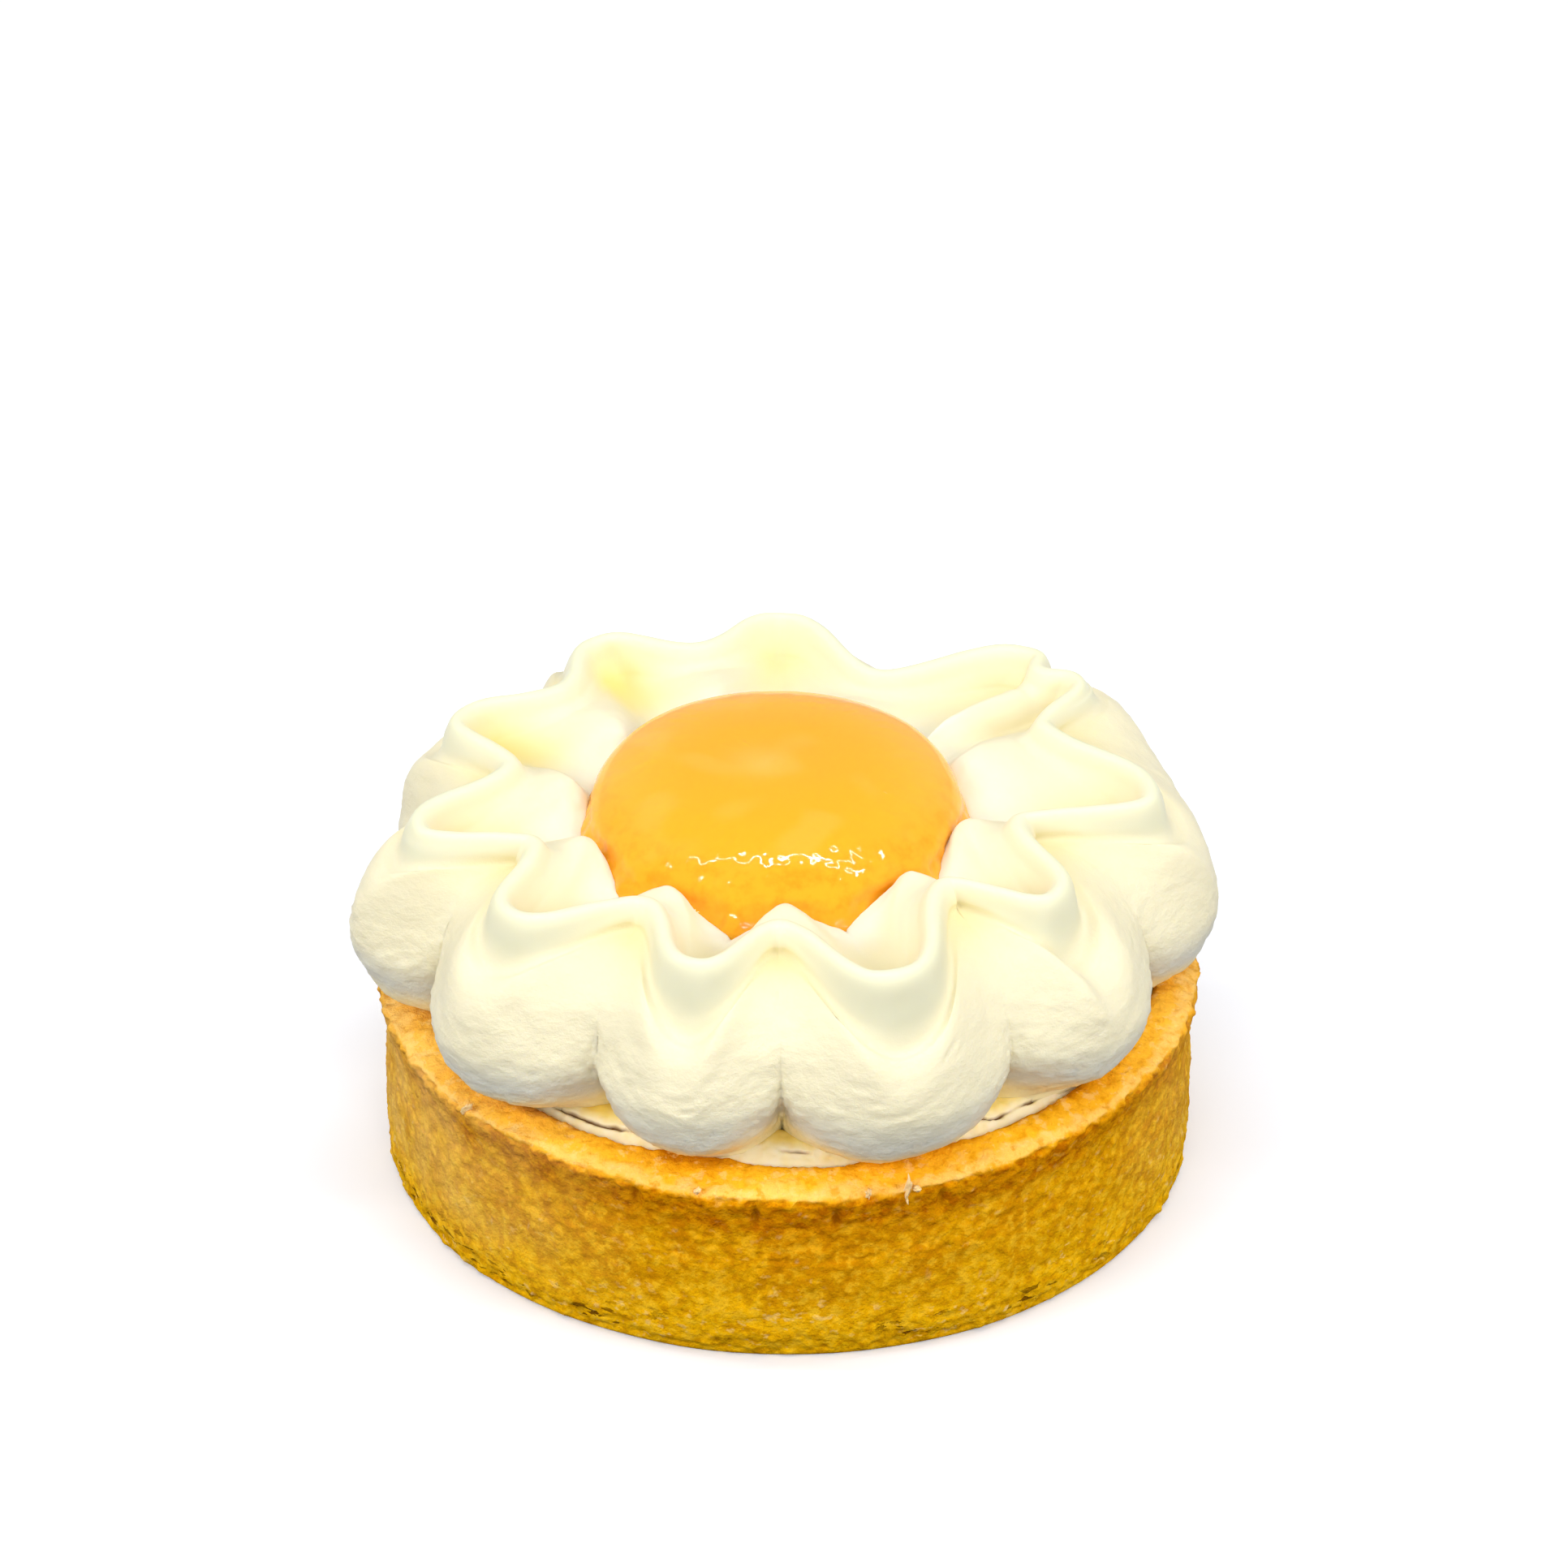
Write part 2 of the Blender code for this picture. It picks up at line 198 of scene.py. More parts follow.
# Large primes and bit shifts that scramble a cell's whole numbers and the seed.
PRIMES = (73856093, 19349663, 83492791, 668265263)
SCRAMBLE = ((15, 2246822519), (13, 3266489917), (16, 1))


def scrambled(cells, seed):
    """Three numbers from -1 to 1 for each cell of whole numbers, the same on every run.

    Each is a hash: the whole numbers times primes, then shifted, combined and multiplied.
    """
    key = cells[..., 0] * PRIMES[0] ^ cells[..., 1] * PRIMES[1] ^ cells[..., 2] * PRIMES[2]
    key = (key ^ (seed * PRIMES[3])).astype(np.uint32)
    made = []
    for _ in range(3):
        for shift, prime in SCRAMBLE:
            key = (key ^ (key >> np.uint32(shift))) * np.uint32(prime)
        made.append(key.astype(np.float64) / 2.0 ** 31 - 1.0)
    return np.stack(made, axis=-1)


def noise(points, spacing, seed):
    """Smooth noise from about -1 to 1: slopes at the corners of a lattice, eased between them."""
    cell = points / spacing
    low = np.floor(cell).astype(np.int64)
    part = cell - low
    ease = part ** 3 * (part * (part * 6.0 - 15.0) + 10.0)
    total = np.zeros(points.shape[:-1])
    for corner in itertools.product((0, 1), repeat=3):
        corner = np.array(corner)
        weight = np.prod(np.where(corner == 1, ease, 1.0 - ease), axis=-1)
        total += weight * np.sum(scrambled(low + corner, seed) * (part - corner), axis=-1)
    return 1.3 * total


def pores(points, spacing, share, size, seed):
    """Round pores from 0 to 1 deep: one in that share of a lattice's cells, moved off its middle.

    Each is (1 - (distance / radius) squared) squared, and the deepest at a point counts.
    """
    cell = points / spacing
    low = np.floor(cell).astype(np.int64)
    deepest = np.zeros(points.shape[:-1])
    for step in itertools.product((-1, 0, 1), repeat=3):
        there = low + np.array(step)
        middle = there + 0.5 + 0.35 * scrambled(there, seed)
        draw = scrambled(there, seed + 101)
        radius = size / np.max(spacing) * (0.75 + 0.4 * draw[..., 0])
        away = np.sum((cell - middle) ** 2, axis=-1) / radius ** 2
        depth = np.clip(1.0 - away, 0.0, 1.0) ** 2 * (0.65 + 0.35 * draw[..., 2])
        deepest = np.maximum(deepest, np.where(draw[..., 1] < 2.0 * share - 1.0, depth, 0.0))
    return deepest


def eased(value, low, high):
    """A smooth step from 0 at low to 1 at high."""
    part = np.clip((value - low) / (high - low), 0.0, 1.0)
    return part * part * (3.0 - 2.0 * part)


def bump(value, middle, width):
    """A bell from 0 to 1 about its middle."""
    return np.exp(-((value - middle) / width) ** 2)


# Grids: arrays (rows, columns, 3) whose rows run once round the Z axis


def around(columns):
    """That many evenly spaced directions round the Z axis."""
    return np.linspace(0.0, TURN, columns, endpoint=False)


def from_front(angle):
    """The angle between a direction and -Y, never below 0."""
    return np.abs(np.mod(angle + 0.75 * TURN, TURN) - math.pi)


def turned(radius, height, angle, centre_x=0.0):
    """One row of points at a radius from an upright axis and at a height, in each direction.

    Radius and height may be one number or one for each. The axis stands at centre_x.
    """
    radius = np.broadcast_to(radius, angle.shape)
    height = np.broadcast_to(height, angle.shape)
    return np.stack([centre_x + radius * np.cos(angle), radius * np.sin(angle), height], axis=1)


def woven(keys, steps, loop=False):
    """Rows between key rows: a cubic through four neighbouring keys, cut into that many steps.

    Between keys b and c, beside a and d, a point is b + t(c - a)/2 + t^2(2a - 5b + 4c - d)/2
    + t^3(3b - 3c + d - a)/2. An open grid repeats its end keys, and the steps after its last
    key are 0. With the grid comes the place of each row: its key's number and t.
    """
    keys = np.array(keys)
    if loop:
        a, b, c, d = (np.roll(keys, -shift, axis=0) for shift in (-1, 0, 1, 2))
    else:
        ends = np.concatenate([keys[:1], keys, keys[-1:]])
        a, b, c, d = ends[:-3], ends[1:-2], ends[2:-1], ends[3:]
    rows = []
    place = []
    for index, count in enumerate(steps):
        for t in np.arange(count) / count:
            rows.append(b[index] + 0.5 * t * (c[index] - a[index])
                        + 0.5 * t ** 2 * (2 * a[index] - 5 * b[index] + 4 * c[index] - d[index])
                        + 0.5 * t ** 3 * (3 * b[index] - 3 * c[index] + d[index] - a[index]))
            place.append(index + t)
    if not loop:
        rows.append(keys[-1])
        place.append(len(keys) - 1)
    return np.array(rows), np.array(place)[:, None]


def outward(grid, loop=False):
    """Unit normals of a grid: the cross product of its differences along and across the rows."""
    across = np.roll(grid, -1, axis=1) - np.roll(grid, 1, axis=1)
    if loop:
        along = np.roll(grid, -1, axis=0) - np.roll(grid, 1, axis=0)
    else:
        along = np.gradient(grid, axis=0)
    normal = np.cross(across, along)
    return normal / np.maximum(np.linalg.norm(normal, axis=2, keepdims=True), 1.0e-9)


def skin(name, grid, masks, material, slot, loop=False):
    """Makes a closed mesh of a grid in millimetres, with a mask from 0 to 1 for each name.

    A looped grid joins its last row to its first. Any other has a fan of triangles at each
    end, to the middle of that row.
    """
    rows, columns = grid.shape[:2]
    index = np.arange(rows * columns).reshape(rows, columns)
    if loop:
        index = np.concatenate([index, index[:1]])
    lower, upper = index[:-1], index[1:]
    quads = np.stack([lower, np.roll(lower, -1, axis=1), np.roll(upper, -1, axis=1), upper],
                     axis=2)
    faces = quads.reshape(-1, 4).tolist()
    points = grid.reshape(-1, 3)
    if not loop:
        first, last = index[0], index[-1]
        count = len(points)
        points = np.concatenate([points, grid[:1].mean(axis=1), grid[-1:].mean(axis=1)])
        faces += np.stack([np.roll(first, -1), first, np.full(columns, count)], axis=1).tolist()
        faces += np.stack([last, np.roll(last, -1), np.full(columns, count + 1)], axis=1).tolist()
    mesh = bpy.data.meshes.new(name)
    mesh.from_pydata((points * MM).tolist(), [], faces)
    mesh.shade_smooth()
    for label, values in masks.items():
        values = np.clip(np.broadcast_to(values, (rows, columns)).reshape(-1), 0.0, 1.0)
        if not loop:
            values = np.concatenate([values, [values[0], values[-1]]])
        mask = mesh.attributes.new(label, "FLOAT", "POINT")
        mask.data.foreach_set("value", values.astype(np.float32))
    mesh.materials.append(material)
    piece = bpy.data.objects.new(name, mesh)
    bpy.context.scene.collection.objects.link(piece)
    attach(piece, "root")
    return piece


# Materials


def node(tree, kind, inputs=None):
    """Adds a node: each entry is one of its sockets or properties, with a value or a link."""
    made = tree.nodes.new(kind)
    for key, value in (inputs or {}).items():
        if isinstance(value, bpy.types.NodeSocket):
            tree.links.new(value, made.inputs[key])
        elif isinstance(key, int) or key in made.inputs:
            made.inputs[key].default_value = value
        else:
            setattr(made, key, value)
    return made


def finish_of(name, values):
    """A new material, its tree and the shader at its end, with values for its sockets."""
    made = bpy.data.materials.new(name)
    made.use_nodes = True
    shader = made.node_tree.nodes["Principled BSDF"]
    for key, value in values.items():
        shader.inputs[key].default_value = value
    return made, made.node_tree, shader


def patterns(tree, table):
    """Noise from 0 to 1 in Object coordinates: a socket for each row of the table.

    A row has a size in millimetres, the detail, the roughness and how much finer it is
    along Z.
    """
    where = node(tree, "ShaderNodeTexCoord").outputs["Object"]
    made = []
    for size, detail, rough, finer in table:
        squeezed = node(tree, "ShaderNodeVectorMath",
                        {"operation": "MULTIPLY", 0: where, 1: (1.0, 1.0, finer)})
        made.append(node(tree, "ShaderNodeTexNoise", {
            "Vector": squeezed.outputs[0], "Scale": 1.0 / (size * MM), "Detail": detail,
            "Roughness": rough}).outputs[0])
    return made


def share_of(tree, strength, *factors):
    """A strength times its factors, as a socket.

    A factor is a pattern or the name of a mask, alone or with the two bounds between which
    it is eased from 0 to 1.
    """
    for factor in factors:
        source, *bounds = factor if isinstance(factor, tuple) else (factor,)
        if isinstance(source, str):
            source = node(tree, "ShaderNodeAttribute", {"attribute_name": source}).outputs["Fac"]
        if bounds:
            source = node(tree, "ShaderNodeMapRange", {
                "interpolation_type": "SMOOTHSTEP", 0: source, 1: bounds[0],
                2: bounds[1]}).outputs[0]
        strength = node(tree, "ShaderNodeMath",
                        {"operation": "MULTIPLY", 0: strength, 1: source}).outputs[0]
    return strength


def coats(tree, base, layers):
    """Colours laid over a base: each layer is a colour, a strength and its factors.

    Each result is the one before it, mixed with the layer's colour by its share. A colour is a
    hex code, three linear numbers or a socket.
    """
    def paint(value):
        """A colour as a socket or as red, green, blue and alpha."""
        if isinstance(value, bpy.types.NodeSocket):
            return value
        return (*(linear(value) if isinstance(value, str) else value), 1.0)

    for over, *share in layers:
        base = node(tree, "ShaderNodeMix", {
            "data_type": "RGBA", 0: share_of(tree, *share), 6: paint(base),
            7: paint(over)}).outputs[2]
    return base


def covered(tree, shader, paint, height, strength, distance):
    """Links a colour, and a relief with that height, strength and distance, to the shader."""
    relief = node(tree, "ShaderNodeBump",
                  {"Height": height, "Strength": strength, "Distance": distance})
    tree.links.new(paint, shader.inputs["Base Color"])
    tree.links.new(relief.outputs[0], shader.inputs["Normal"])


def shortcrust(settings):
    """Shortcrust pastry baked in a ring: dry, matt and sandy, golden where it met the metal.

    It is browner under the lip, partly from baking and partly as painted shade of the lip's
    overhang. It is painted brighter low down, as light from the floor, and paler at the sides, as
    painted sheen. It is paler in flecks of butter. Across the lip it goes from a peach painted
    highlight at the outer edge through gold to a brown painted shadow of the cream at the inner
    edge. Slits show near the foot; they and the pits, cracks and dents are painted dark, as shade.
    """
    made, tree, shader = finish_of("baked_shortcrust", {
        "Roughness": 0.85, "Specular IOR Level": 0.02, "Subsurface Weight": 0.1,
        "Subsurface Radius": (1.0, 0.6, 0.2), "Subsurface Scale": 0.0004})
    # Real crumbs are about 0.3 mm and too fine to show, so the sand is drawn at 1.2 mm.
    sand, mottle, cluster, split, butter, crumbs = patterns(tree, (
        (1.2, 4.0, 0.6, 1.0), (4.5, 4.0, 0.6, 1.0), (6.0, 1.0, 0.5, 1.0),
        (2.2, 3.0, 0.55, 3.0), (1.1, 2.0, 0.5, 1.5), (0.9, 4.0, 0.6, 1.0)))
    # The slits are painted dark, as shade in them.
    slit = share_of(tree, 1.0, (split, 0.6, 0.635), "foot")
    # Brown under the lip: partly baking, partly painted shade of the overhanging lip.
    brown = coats(tree, "#BE6C02", [(settings.browned, 1.0, (sand, 0.35, 0.6))])
    wall = coats(tree, settings.baked, (
        ("#D08C04", 0.8, (mottle, 0.62, 0.36)),
        # Painted light: the wall is brighter low down, where the floor lights it.
        ("#FFC00A", 1.0, "low"),
        ("#C68204", 0.6, (sand, 0.5, 0.36)),
        ("#FFC92A", 0.6, (sand, 0.5, 0.63)),
        (brown, 1.0, "browned"),
        ("#FFD67E", 0.6, (butter, 0.6, 0.7), (cluster, 0.4, 0.6), "specks"),
    ))
    # Lip: peach painted highlight at its outer edge, brown painted shade of the cream at its inner.
    lip = coats(tree, "#F4AC1A", (
        ("#FFC45C", 1.0, ("across", 0.0, 0.2)),
        (settings.top, 1.0, ("across", 0.32, 0.55)),
        ("#F7AE16", 1.0, ("across", 0.6, 0.86)),
        ("#C67C08", 1.0, ("across", 0.76, 1.0)),
        ("#E69A0A", 0.7, (sand, 0.48, 0.34)),
        ("#FFD07C", 0.5, (sand, 0.54, 0.64)),
    ))
    whole = coats(tree, wall, (
        (lip, 1.0, "top"),
        # Painted sheen: paler on the sides, where light grazes them.
        (settings.pale, 1.0, "faded"),
        ("#FFE0A8", 1.0, "crumb"),
        # Painted shade: slits, pits, cracks and dents are darkened.
        ("#7A4C08", 1.0, slit),
        ("#6B3F04", 1.0, "pit"),
    ))
    height = node(tree, "ShaderNodeMath", {"operation": "SUBTRACT", 0: crumbs, 1: slit})
    covered(tree, shader, whole, height.outputs[0], 1.0, 0.0004)
    return made


def baked_cheese(settings):
    """Baked cream cheese: dense and soft, with a drier, paler skin that has torn at its edge."""
    made, tree, shader = finish_of("baked_cream_cheese", {
        "Roughness": 0.5, "Specular IOR Level": 0.3, "Subsurface Weight": 0.4,
        "Subsurface Radius": (1.0, 0.7, 0.3), "Subsurface Scale": 0.0015})
    # Real curd grains are about 0.1 mm and too fine to show, so they are drawn at 0.6 mm.
    cloud, fine = patterns(tree, ((2.5, 2.0, 0.5, 1.0), (0.6, 3.0, 0.6, 1.0)))
    whole = coats(tree, settings.cheese, (
        ("#F6D264", 1.0, (cloud, 0.35, 0.65)),
        (settings.skin, 1.0, "skin"),
        # Painted shade: the tear at the skin's edge is dark brown.
        ("#6E4308", 1.0, "torn"),
    ))
    covered(tree, shader, whole, fine, 0.3, 0.0001)
    return made


def whipped_cream(settings):
    """Whipped dairy cream: ivory and satin where the nozzle drew it, pitted on its bellies.

    Light passes through it a little. Its hollows are painted yellow, as shade lit through the
    cream. Painted shade greys it under the bellies and on the steep face below the crest, and
    painted light from the filling warms it again at its foot. The crest has a painted sheen and
    the inner bellies a paler painted tint against the jelly's orange light.
    """
    made, tree, shader = finish_of("whipped_dairy_cream", {
        "Specular IOR Level": 0.3, "Subsurface Weight": 0.25,
        "Subsurface Radius": (1.0, 0.8, 0.4), "Subsurface Scale": 0.0009})
    # Most air bubbles are about 0.2 mm and too fine to show, so they are drawn at 1 mm.
    patch, fine = patterns(tree, ((1.1, 2.0, 0.5, 1.0), (1.0, 4.0, 0.65, 1.4)))
    whole = coats(tree, settings.body, (
        # Painted shade: yellow in the hollows.
        (settings.hollow, 1.0, "hollow"),
        # Painted sheen: a paler, greener tint on the crest.
        ("#E7EAC9", 0.7, "crest"),
        # Painted shade on the steep face below the crest.
        ("#E0DFC2", 1.0, "face"),
        # Painted light: a paler, greener tint that offsets the jelly's orange light.
        ("#F1F4E4", 1.0, "inner"),
        # Painted shade: grey under the bellies.
        ("#C8CED2", 1.0, "under"),
        # Painted bounce light: warm at the foot, where the filling lights the cream.
        ("#FBEDB6", 1.0, "glow"),
    ))
    wet = share_of(tree, 1.0, (patch, 0.42, 0.62), "crest")
    rough = node(tree, "ShaderNodeMapRange", {0: wet, 3: 0.5, 4: 0.3})
    tree.links.new(rough.outputs[0], shader.inputs["Roughness"])
    covered(tree, shader, whole, fine, share_of(tree, 0.9, ("rough", 0.0, 1.0)), 0.0002)
    return made


def set_jelly(settings):
    """Set apple jelly: wet gloss over a cloudy golden orange body.

    It is painted paler at its back and side edges and in patches, as a reflection of the sky. It
    is mottled and deeper on the slope at its front, where it was spooned. Its bubbles and beads
    are painted lighter, as glints.
    """
    made, tree, shader = finish_of("set_apple_jelly", {
        "Roughness": 0.045, "IOR": 1.4, "Subsurface Weight": 0.35,
        "Subsurface Radius": (1.0, 0.45, 0.08), "Subsurface Scale": 0.003})
    # Apple pulp of about 0.4 mm is too fine to show, so it is drawn at 1.2 mm.
    mottle, fine = patterns(tree, ((1.3, 3.0, 0.6, 1.0), (1.2, 2.0, 0.5, 1.0)))
    slope = coats(tree, settings.deep, [("#FBA71C", 1.0, (mottle, 0.3, 0.6))])
    whole = coats(tree, settings.body, (
        # Painted reflection: paler at the back and side edges and in patches.
        ("#FFBF5C", 1.0, "pale"),
        (slope, 1.0, "deep"),
        # Painted glints: the bubbles and beads are lighter.
        ("#FFD78A", 1.0, "bead"),
    ))
    covered(tree, shader, whole, fine, 0.15, 0.0001)
    return made


# Pastry crust


def lip_height(angle, settings):
    """Height of the lip: level, less a bell about the front, plus three uneven waves."""
    wave = sum(share * np.sin(order * (angle + 0.7))
               for order, share in zip((5, 11, 19), (0.11, 0.066, 0.044)))
    dip = settings.rim_dip / MM * bump(from_front(angle), 0.0, math.radians(26.0))
    return settings.rim_height / MM - dip + wave


def under_bellies(angle):
    """From 0 to 1 where the lip reaches in under the two front bellies: two bells."""
    return sum(bump(np.degrees(angle), at, wide) for at, wide in ((256.5, 6.5), (287.5, 6.0)))


def crust_surface(settings):
    """The cup's grid and its masks.

    A profile is turned about Z: flat base, straight wall that draws in under a flared lip,
    sloping cut top, inner wall. Along its normal it then moves by noise for lumps and crumb,
    less pores, cracks near the foot and dents under the lip.
    """
    angle = around(CRUST_COLUMNS)
    degrees = np.degrees(angle)
    lip = lip_height(angle, settings)
    rim = settings.rim_radius / MM
    wave = sum(share * np.sin(order * (angle + 1.9))
               for order, share in zip((4, 9, 17), (0.125, 0.075, 0.05)))
    front = bump(from_front(angle), 0.0, 0.9)
    reached = under_bellies(angle)
    # How far inside the rim, height, how much that hangs from the lip, how wavy, how far drawn
    # in at the front and under the two bellies, and rows of faces up to the next key.
    profile = (
        (8.0, 0, 0, 0, 0, 0, 2), (2.3, 0, 0, 0.5, 0.5, 0, 2),
        (1.3, 0.12, 0, 0.5, 0.75, 0, 3), (0.85, 0.7, 0, 0.8, 0.7, 0, 5),
        (0.75, 2.2, 0, 1, 0.4, 0, 9), (0.72, 5.0, 0, 1, 0.1, 0, 10),
        (0.78, 8.4, 0.1, 1, 0, 0, 10), (0.95, -7.0, 1, 1, 0, 0, 8),
        (1.05, -4.9, 1, 1, 0, 0, 6), (0.85, -3.1, 1, 0.8, 0, 0, 5),
        (0.42, -1.6, 1, 0.6, 0, 0, 4), (0.1, -0.55, 1, 0.4, 0, 0, 3),
        (0.35, 0.12, 1, 0.4, 0, 0, 3), (1.2, 0.45, 1, 0.3, 0, 0.2, 5),
        (2.7, 0.95, 1, 0.2, 0, 0.6, 4), (3.9, 1.12, 1, 0, 0, 1, 3),
        (4.35, 0.85, 1, 0, 0, 1, 2), (4.45, 0, 1, 0, 0, 1, 2),
        (4.6, -5.0, 1, 0, 0, 1, 2), (5.2, 5.5, 0, 0, 0, 0, 1),
        (6.7, 4.0, 0, 0, 0, 0, 0),
    )
    keys = [turned(rim - back + share * wave - inset * front - 1.3 * inner * reached,
                   height + hangs * lip, angle)
            for back, height, hangs, share, inset, inner, _ in profile]
    grid, place = woven(keys, [row[-1] for row in profile])
    facing = outward(grid)
    # Place 4 is low on the wall, 7 below the lip, 11 the lip's outer edge, 15 its crown.
    outer = eased(place, 2.0, 3.5) * eased(place, 16.5, 15.5)
    top = eased(place, 11.0, 12.0) * eased(place, 16.8, 15.9)
    wall = eased(place, 2.0, 3.0) * eased(place, 12.0, 11.0)
    edge = bump(place, 11.4, 0.9)
    height = grid[..., 2]
    # The wall laid flat: along it at 39 mm, its height and its reach.
    round_wall = np.stack([np.broadcast_to(angle * 39.0, height.shape), height,
                           np.linalg.norm(grid[..., :2], axis=2)], axis=2)

    lumps = 0.14 * noise(grid, 4.5, 3) + 0.10 * noise(grid, 1.9, 4)
    crumb = 0.9 * noise(grid, 1.1, 5) + 0.6 * noise(grid, 0.55, 6)
    grains = pores(grid, 1.25, 0.55, 0.55, 7)
    pore = pores(round_wall / (1.3, 0.7, 1.0), 1.0, 0.22, 0.42, 18) * wall
    big_pore = pores(round_wall / (4.6, 2.6, 4.0), 1.0, 0.20, 0.20, 8) * wall
    line = 2.3 + 0.9 * noise(turned(14.0, 0.0, angle), 3.0, 9)
    torn = eased(noise(turned(20.0, 4.0, angle), 4.0, 10), -0.1, 0.2)
    crack = wall * torn * bump(height, line, 0.26) * (0.35 + 0.9 * noise(grid, 0.8, 11))
    crack = np.clip(crack + 0.8 * eased(noise(round_wall / (1.6, 0.4, 1.0), 1.0, 19), 0.5, 0.75)
                    * bump(height, 2.2, 1.8) * wall, 0.0, 1.0)
    crumbling = edge * (0.6 * noise(grid, 1.8, 12) + 0.45 * noise(grid, 0.8, 13) - 0.22)
    crumbling = crumbling + top * (0.16 * noise(grid, 1.2, 30) + 0.13 * noise(grid, 0.6, 40))
    foot = bump(height, 0.5, 1.1) * wall * (0.5 * noise(grid, 1.3, 14) - 0.2)
    dents = sum(bump(degrees, at, 0.65) * bump(height - lip, -deep, 1.3)
                for at, deep in ((265.6, 2.2), (276.4, 2.4), (249.0, 1.9), (291.0, 2.1)))
    relief = outer * (lumps + settings.grain / MM * crumb + 0.12 * grains)
    relief = relief - 0.22 * pore - 0.5 * big_pore - 0.4 * crack - 0.6 * dents
    relief = relief + crumbling + foot - 0.08 * outer
    grid = grid + relief[..., None] * facing
    grid[..., 2] = np.maximum(grid[..., 2], 0.0)
    reach = np.linalg.norm(grid[..., :2], axis=2)
    grid[..., :2] *= np.minimum(1.0, rim / np.maximum(reach, 1.0e-6))[..., None]

    front = bump(from_front(angle), 0.0, 1.1)
    from_lip = height - lip
    # Browner under the lip, most at the front, and in dents: partly baking, partly painted shade.
    browned = wall * (eased(from_lip, -5.5, -2.5) + 0.4 * eased(from_lip, -13.0, -5.0))
    browned = browned * (0.5 + 0.5 * front) * (0.8 + 0.5 * noise(grid, 3.5, 15)) + 0.6 * dents
    # Painted light from the floor: brighter low on the wall, most at the front.
    low = wall * eased(height, 9.0, 3.0) * (0.75 + 0.4 * noise(grid, 3.5, 20))
    # Painted sheen: paler on the left and right sides, where light grazes them.
    sides = 0.42 * eased(-np.cos(angle), 0.3, 1.0) + 0.16 * eased(np.cos(angle), 0.75, 1.0)
    faded = (wall * eased(height, 1.0, 9.0) + top) * sides * (0.7 + 0.6 * noise(grid, 4.0, 52))
    # Painted shade of the cream: the lip goes browner inside, under the bellies and at two sides.
    across = (place - 11.6) / 4.4 + 0.16 * noise(grid, 1.1, 16) + 0.14 * noise(grid, 3.2, 17)
    painted_shade_side = bump(degrees, 217.0, 15.0) + 0.5 * bump(degrees, 322.0, 14.0)
    across = across + (0.3 * reached + 0.34 * painted_shade_side) * eased(across, 0.0, 0.5)
    return grid, {
        "browned": browned,
        "low": low * (0.6 + 0.4 * front),
        "top": top,
        "across": across,
        "faded": faded,
        "foot": wall * bump(height, 2.0, 1.6) * eased(noise(grid, 7.0, 55), -0.15, 0.25),
        "specks": wall * (0.25 + 0.75 * eased(height, 13.0, 4.0)),
        "crumb": eased(grains, 0.45, 0.8) * wall * (0.25 + 0.6 * bump(height, 1.2, 1.6)),
        # Painted shade in the pores, cracks and dents.
        "pit": (0.3 * eased(pore, 0.4, 0.9) + 0.8 * eased(big_pore, 0.3, 0.8)
                + 0.8 * crack + 0.3 * eased(dents, 0.1, 0.7)),
    }


def flake_surface(index, place, length, turn):
    """One shred of pastry: a ball crumpled by noise, flattened, bent by a sine and turned."""
    rows = np.linspace(-0.5, 0.5, 17)[1:-1] * math.pi
    angle = around(20)
    ball = np.array([turned(math.cos(row), math.sin(row), angle) for row in rows])
    ball = ball + 0.9 * noise(ball + 10.0 * index, 0.7, 60)[..., None] * ball
    shred = ball * np.array([0.42, 0.26, length])
    shred[..., 0] += 0.35 * np.sin(1.6 * shred[..., 2] + index)
    spin = Matrix.Rotation(turn, 3, "X") @ Matrix.Rotation(0.7 * index, 3, "Z")
    return shred @ np.array(spin).T + np.array(place)


# Baked cream cheese


